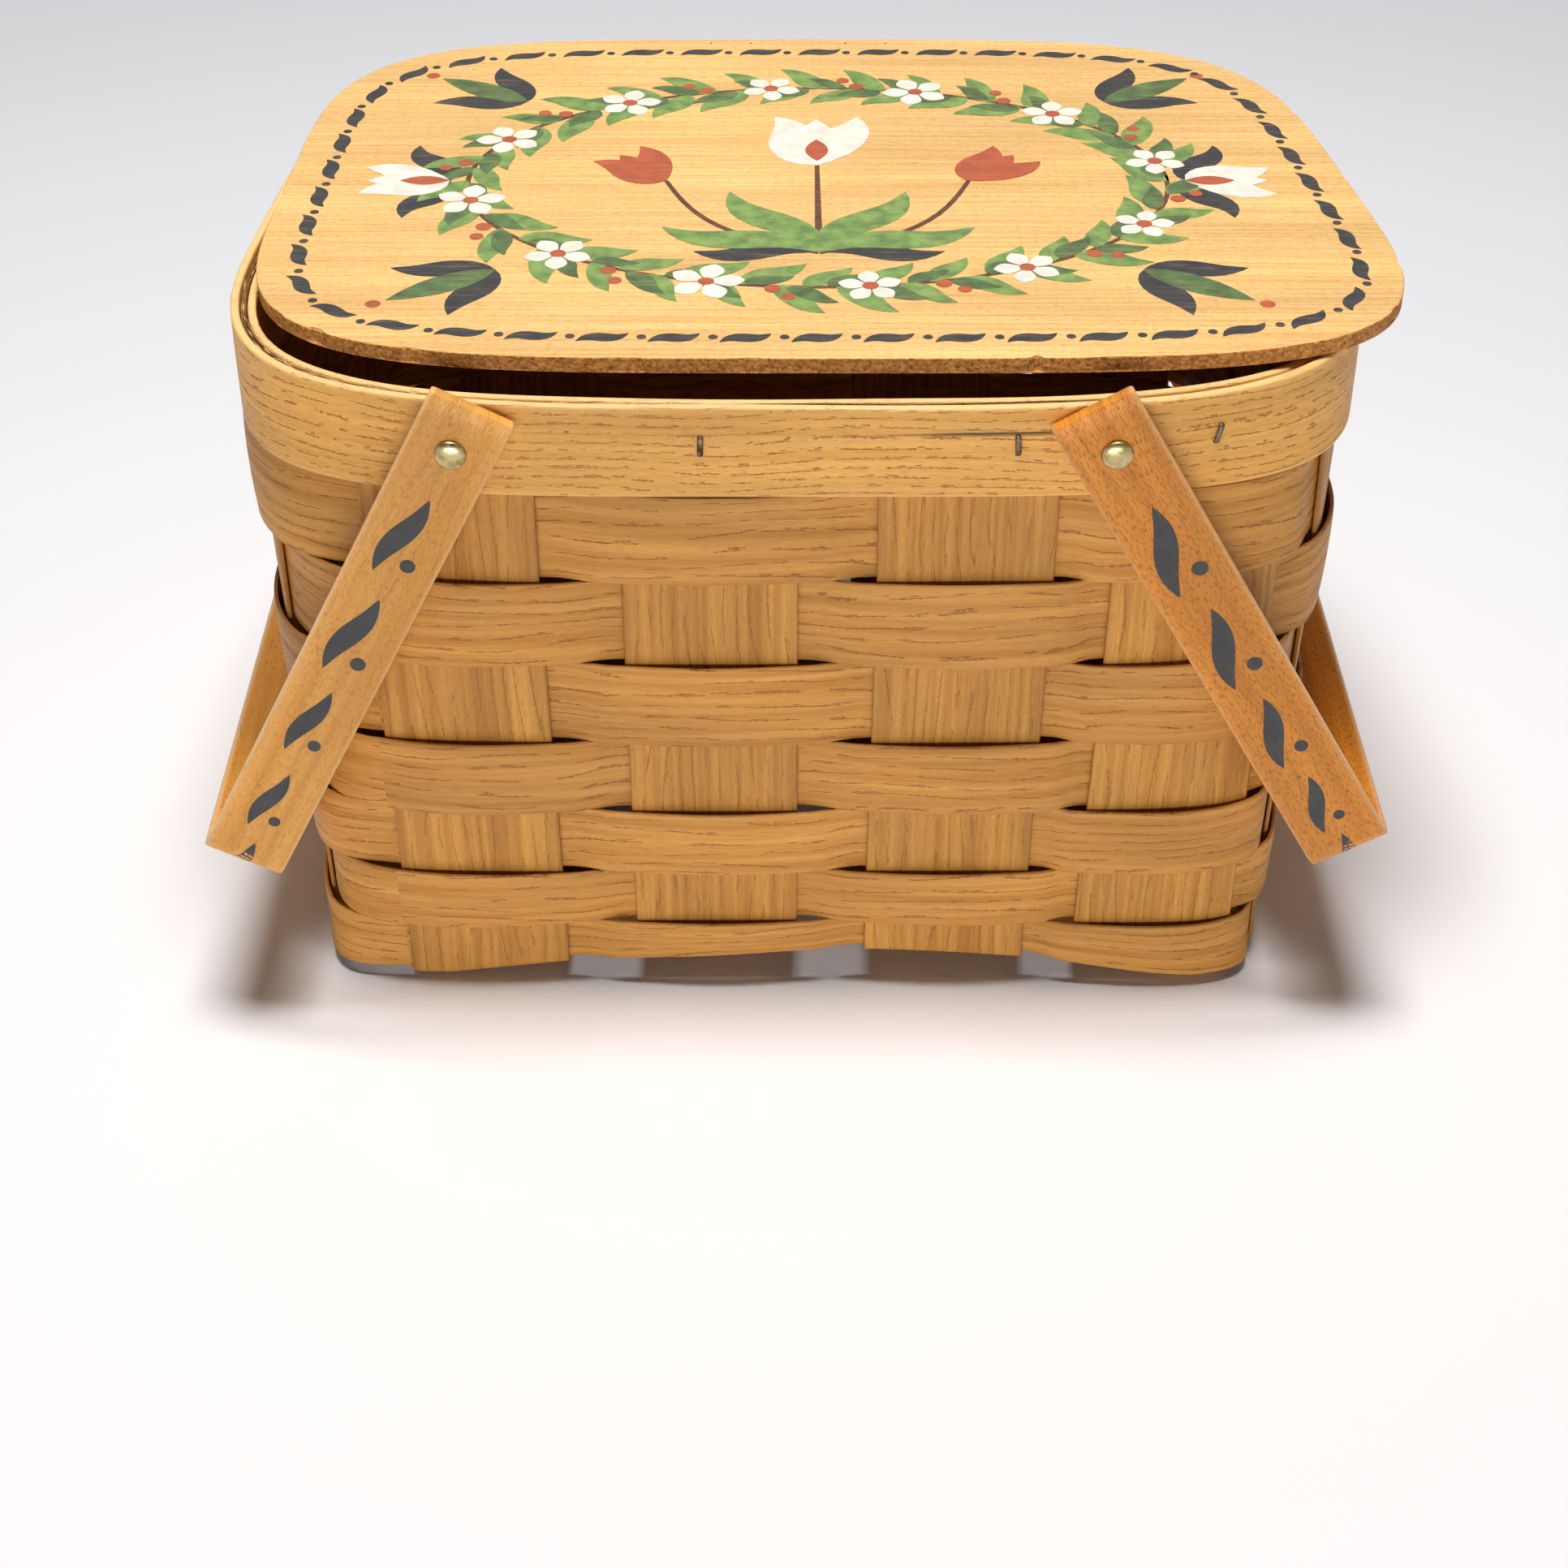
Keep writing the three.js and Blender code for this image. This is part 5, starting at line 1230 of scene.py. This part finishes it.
def motifs_on_path_tree():
    """Copies of a motif along a path, turned with it; Tilt leans them, every second one the other way."""
    tree, given, result = new_geometry_tree("motifs_on_path", [
        ("Motif", "NodeSocketObject"), ("Count", "NodeSocketInt"), ("Tilt", "NodeSocketFloat"),
        ("Alternate", "NodeSocketFloat"), ("Smallest", "NodeSocketFloat"), ("Largest", "NodeSocketFloat"),
        ("Seed", "NodeSocketInt"), ("Material", "NodeSocketMaterial")])
    path = add_node(tree, "GeometryNodeMeshToCurve", {"Mesh": given["Geometry"]})
    even = add_node(tree, "GeometryNodeResampleCurve", {"Curve": path, "Count": given["Count"]})
    tangent = add_node(tree, "GeometryNodeInputTangent")
    turned = add_node(tree, "FunctionNodeAlignRotationToVector", {"Vector": tangent},
                      axis="X", pivot_axis="Z")
    index = add_node(tree, "GeometryNodeInputIndex")
    odd = add_node(tree, "ShaderNodeMath", {0: index, 1: 2.0}, operation="MODULO")
    other_way = add_node(tree, "ShaderNodeMath", {0: odd, 1: given["Alternate"]}, operation="MULTIPLY")
    sign = add_node(tree, "ShaderNodeMath", {0: other_way, 1: -2.0, 2: 1.0}, operation="MULTIPLY_ADD")
    lean = add_node(tree, "ShaderNodeMath", {0: sign, 1: given["Tilt"]}, operation="MULTIPLY")
    leaning = add_node(tree, "FunctionNodeAxisAngleToRotation", {"Axis": (0, 0, 1), "Angle": lean})
    both = add_node(tree, "FunctionNodeRotateRotation", {0: turned, 1: leaning}, rotation_space="LOCAL")
    size = add_node(tree, "FunctionNodeRandomValue", {
        2: given["Smallest"], 3: given["Largest"], "Seed": given["Seed"]}, data_type="FLOAT")
    shape = add_node(tree, "GeometryNodeObjectInfo", {"Object": given["Motif"]})
    copies = add_node(tree, "GeometryNodeInstanceOnPoints", {
        "Points": even, "Instance": shape.outputs["Geometry"], "Rotation": both, "Scale": size.outputs[1]})
    return end_tree(tree, copies, given["Material"], result)


MOTIFS_ON_PATH = motifs_on_path_tree()


def lay_on_lid(piece):
    """Puts a film that was drawn in millimetres on the plane down on the lid's top."""
    grain_from_plane(piece.data)
    move_points(piece.data, points_of(piece.data) + (0, 0, LID_TOP))
    finish_piece(piece, "lid", "lid_board")


def paint_along(name, blades, path, material, count, tilt=0.0, alternate=0.0, sizes=(1.0, 1.0), seed=1,
                lift=FILM):
    """Paints count copies of a motif on a closed path."""
    edges = [(k, (k + 1) % len(path)) for k in range(len(path))]
    line = new_mesh(name, [(x, y, 0) for x, y in path], edges=edges, unit=1)
    motif = make_object(f"{name}_motif", film_mesh(f"{name}_motif", blades, lift))
    piece = run_tree(make_object(name, line), MOTIFS_ON_PATH, {
        "Motif": motif, "Count": count, "Tilt": tilt, "Alternate": alternate, "Smallest": sizes[0],
        "Largest": sizes[1], "Seed": seed, "Material": material})
    bpy.data.objects.remove(motif)
    lay_on_lid(piece)


def paint_free(name, blades, material, lift=FILM):
    mesh = film_mesh(name, blades, lift)
    mesh.materials.append(material)
    lay_on_lid(make_object(name, mesh))


LID_MIDDLE = np.array([LID_SHIFT_X, lid_y])
BORDER_INSET = 15.0
border_path = lid_edge(np.full(LID_STATIONS, BORDER_INSET))[::5]
border_leaf = leaf_blade(19.0, 6.0, 1.5) - (9.5, 0)
border_motif = [placed(border_leaf, 0, 0, 0.35), dot_blade(13.5, 0.6, 1.7)]
paint_along("lid_border_leaves", border_motif, border_path, BLACK_PAINT, 46)

WREATH = np.array([134.0, 90.0])
BLOSSOMS, PETALS = 12, 5
ring_angles = np.linspace(0, 2 * np.pi, 121)[:-1]


def on_wreath(scale, shift):
    """An oval like the wreath's, a scale larger or smaller, begun further round by shift."""
    angles = ring_angles + shift
    return LID_MIDDLE + WREATH * scale * np.stack([np.cos(angles), np.sin(angles)], -1)


wreath_path, blossom_path, berry_path = on_wreath(1.0, 0.0), on_wreath(1.0, 0.2), on_wreath(1.06, 0.46)
wreath_leaf = leaf_blade(27.0, 10.5, 1.0, middle=0.4)
dark_leaf = placed(wreath_leaf, 3, 0, 0, 0.8)
stem_ring = np.concatenate([wreath_path, wreath_path[:2]])
petal = leaf_blade(12.5, 8.0, 0, middle=0.62)
petals = [placed(petal, 0, 0, k * 2 * math.pi / PETALS) for k in range(PETALS)]
heart = dot_blade(0, 0, 3.0)
berries = [dot_blade(0, 3.4, 3.0), dot_blade(6, -2.6, 2.6)]
paint_free("lid_wreath_stem", [blade(stem_ring, np.full(len(stem_ring), 1.0))], BROWN_PAINT)
paint_along("lid_wreath_leaves", [wreath_leaf], wreath_path, GREEN_PAINT, 62, 0.75, 1.0, (0.85, 1.1), 3, 0.14)
paint_along("lid_wreath_dark_leaves", [dark_leaf], wreath_path, DARK_GREEN_PAINT, 48, 0.45, 1.0,
            (0.8, 1.05), 5, 0.18)
paint_along("lid_wreath_blossoms", petals, blossom_path, CREAM_PAINT, BLOSSOMS, 0.3, 0.0,
            (0.9, 1.15), 2, 0.22)
paint_along("lid_wreath_blossom_hearts", [heart], blossom_path, BRICK_PAINT, BLOSSOMS, lift=0.32)
paint_along("lid_wreath_berries", berries, berry_path, BRICK_PAINT, BLOSSOMS, lift=0.22)


def tulip(x, y, turn, scale):
    """Two outer petals that open from one point, and a third in front of them."""
    outer = leaf_blade(34, 15, 1.5, middle=0.42)
    inner = leaf_blade(30, 14, 0, middle=0.45)
    petals = ((outer, -0.34), (outer, 0.34), (inner, 0))
    return [placed(shape, x, y, turn + lean, scale) for shape, lean in petals]


def stem(start, end, sag, width=1.5):
    """A thinning stroke between two places, bent aside by a share of its length."""
    t = np.linspace(0, 1, 15)[:, None]
    side = np.array([-(end - start)[1], (end - start)[0]])
    spine = mix(start, end, t) + side * sag * np.sin(math.pi * t)
    return blade(spine, np.linspace(width, 0.6 * width, 15))


# The middle spray: one cream bloom between two brick ones, on brown stems, with long leaves and black strokes
foot = LID_MIDDLE + (0, -62)
left_head, middle_head, right_head = (LID_MIDDLE + head for head in ((-58, 0), (0, 14), (58, 0)))
BLOOM_TURN = 2.25
stems = [stem(foot, head, sag) for head, sag in ((left_head, 0.14), (middle_head, 0.0), (right_head, -0.14))]
long_leaves = [placed(leaf_blade(62, 15, 4), *foot, turn) for turn in (0.35, 1.0)]
long_leaves += [placed(leaf_blade(62, 15, -4), *foot, math.pi - turn) for turn in (0.35, 1.0)]
strokes = [placed(leaf_blade(46, 12, bend), *foot, turn) for bend, turn in ((3, 0.02), (-3, math.pi - 0.02))]
side_blooms = tulip(*left_head, BLOOM_TURN, 1.0) + tulip(*right_head, math.pi - BLOOM_TURN, 1.0)
middle_heart = placed(leaf_blade(20, 9, 0), *(LID_MIDDLE + (0, 18)), math.pi / 2)
paint_free("lid_spray_stems", stems, BROWN_PAINT)
paint_free("lid_spray_leaves", long_leaves, GREEN_PAINT, 0.14)
paint_free("lid_spray_strokes", strokes, BLACK_PAINT, 0.13)
paint_free("lid_spray_brick_blooms", side_blooms, BRICK_PAINT, 0.18)
paint_free("lid_spray_cream_bloom", tulip(*middle_head, math.pi / 2, 1.45), CREAM_PAINT, 0.2)
paint_free("lid_spray_cream_heart", [middle_heart], BRICK_PAINT, 0.26)


def leaf_pair(length, root, turn, spread):
    """Two leaves from one root, one to each side of a direction."""
    return [placed(leaf_blade(length, 12, 2.5 * lean, middle=0.45), *root, turn + lean)
            for lean in (-spread, spread)]


# A bloom at each end, and a fan of black and green leaves in each corner
for label, side in (("left", -1), ("right", 1)):
    root = LID_MIDDLE + (side * 141, 0)
    face = 0 if side > 0 else math.pi
    paint_free(f"lid_{label}_bloom_leaves", leaf_pair(36, root, face, 1.15), BLACK_PAINT)
    paint_free(f"lid_{label}_bloom", tulip(*root, face, 1.05), CREAM_PAINT, 0.16)
    paint_free(f"lid_{label}_bloom_heart", [placed(leaf_blade(19, 8, 0), *root, face)], BRICK_PAINT, 0.22)
    for name, end in (("front", -1), ("back", 1)):
        root = LID_MIDDLE + (side * 117, end * 76)
        turn = math.atan2(end * 0.66, side)
        fan_leaf = placed(leaf_blade(44, 13, 0, middle=0.45), *root, turn)
        paint_free(f"lid_{name}_{label}_fan", leaf_pair(38, root, turn, 0.62), BLACK_PAINT)
        paint_free(f"lid_{name}_{label}_fan_leaf", [fan_leaf], DARK_GREEN_PAINT, 0.13)
        paint_free(f"lid_{name}_{label}_fan_dot", [placed(dot_blade(49, 0, 2.8), *root, turn)], BRICK_PAINT)


# The CAD nodes that stay: hinges, pins, nails and washers
for node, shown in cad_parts.items():
    if shown.hide_render:
        continue
    shown.data.materials.clear()
    if node.startswith("rivet_washer"):
        shown.data.materials.append(BRASS)
    elif node.startswith("lid_nail"):
        shown.data.materials.append(STAPLE_STEEL)
    else:
        shown.data.materials.append(HINGE_STEEL)


# Stage, in metres: a pale floor that runs into a pale backdrop, soft lamps and a dim even surround

BACKDROP, SURROUND, BACKDROP_WHITE = 0.72, 0.045, srgb("#F2F4F8")
FADE_FROM, FADE_TO, FLOOR_HALF = 1.3, 2.6, 4.0
WALL_TOP, CEILING_FROM = 0.2, 0.5


def seen_rays(tree):
    """1 for the rays that see the backdrop, 0 for those that light the object."""
    rays = add_node(tree, "ShaderNodeLightPath")
    seen = rays.outputs["Is Camera Ray"]
    for kind in ("Is Glossy Ray", "Is Transmission Ray"):
        either = add_node(tree, "ShaderNodeMath", {0: seen, 1: rays.outputs[kind]}, operation="MAXIMUM")
        seen = either.outputs[0]
    return seen


def floor_material():
    """White paper, dull, painted darker towards the back as shade; far from the object it turns into the
    backdrop.
    """
    material, tree, shader = new_material("white_paper_floor", Roughness=0.9, Emission_Color=BACKDROP_WHITE)
    place = add_node(tree, "ShaderNodeTexCoord").outputs["Object"]
    parts = add_node(tree, "ShaderNodeSeparateXYZ", {0: place})
    # Painted shade: the paper turns greyer and bluer towards the back, as the lamps' light falls off there
    far = add_node(tree, "ShaderNodeMapRange", {0: parts.outputs["Y"], 1: -0.2, 2: 1.0})
    colour = add_node(tree, "ShaderNodeMix", {0: far, 6: srgb("#F8F6F6"), 7: srgb("#ECECF0")},
                      data_type="RGBA")
    tree.links.new(colour.outputs[2], shader.inputs["Base Color"])
    distance = add_node(tree, "ShaderNodeVectorMath", {0: place}, operation="LENGTH").outputs["Value"]
    glow = add_node(tree, "ShaderNodeMapRange", {0: distance, 1: FADE_FROM, 2: FADE_TO, 3: 0.0, 4: BACKDROP})
    glow = add_node(tree, "ShaderNodeMath", {0: glow, 1: seen_rays(tree)}, operation="MULTIPLY")
    tree.links.new(glow.outputs[0], shader.inputs["Emission Strength"])
    return material


floor_corners = [(x * FLOOR_HALF, y * FLOOR_HALF, 0) for x, y in ((-1, -1), (1, -1), (1, 1), (-1, 1))]
floor_mesh = new_mesh("floor", floor_corners, [(0, 1, 2, 3)], unit=1)
floor_mesh.materials.append(floor_material())
make_object("floor", floor_mesh)


def soft_lamp(name, place, target, size, watts):
    """A soft box at a place, in metres, that faces a target."""
    lamp = bpy.data.lights.new(name, "AREA")
    lamp.shape = "RECTANGLE"
    lamp.size, lamp.size_y = size
    lamp.energy = watts
    made = make_object(name, lamp)
    made.location = place
    x, y, z = np.array(target) - np.array(place)
    made.rotation_euler = (math.atan2(math.hypot(x, y), -z), 0, math.atan2(x, -y) + math.pi)


soft_lamp("key_above", (-0.05, -0.2, 2.2), (0, 0, 0.2), (0.8, 0.55), 48)
soft_lamp("fill_low", (-0.1, -2.6, 0.22), (0, 0, 0.13), (1.8, 0.3), 22)
soft_lamp("wash_behind", (0, 1.5, 1.7), (0, 1.0, 0), (2.4, 0.8), 6)

# The backdrop is pale all round and dim overhead, by the height of the direction looked in
world = bpy.data.worlds.new("studio")
world.use_nodes = True
sky = world.node_tree
looked_in = add_node(sky, "ShaderNodeSeparateXYZ", {0: add_node(sky, "ShaderNodeTexCoord").outputs["Object"]})
pale_wall = add_node(sky, "ShaderNodeMapRange", {
    0: looked_in.outputs["Z"], 1: WALL_TOP, 2: CEILING_FROM, 3: BACKDROP, 4: SURROUND})
sky_strength = add_node(sky, "ShaderNodeMix", {0: seen_rays(sky), 2: SURROUND, 3: pale_wall})
background = sky.nodes["Background"]
background.inputs["Color"].default_value = BACKDROP_WHITE
sky.links.new(sky_strength.outputs[0], background.inputs["Strength"])
bpy.context.scene.world = world

# Camera at the photograph's place: a long lens that looks down on the front
SENSOR, FOCAL_PIXELS, PHOTO_PIXELS = 36.0, 3300, 1932
camera = make_object("camera", bpy.data.cameras.new("camera"))
camera.data.sensor_width = SENSOR
camera.data.lens = SENSOR * FOCAL_PIXELS / PHOTO_PIXELS
camera.location = (-0.0045, -0.952, 0.713)
camera.rotation_euler = (math.radians(53), 0, 0)
bpy.context.scene.camera = camera
bpy.context.scene.view_settings.view_transform = "Standard"
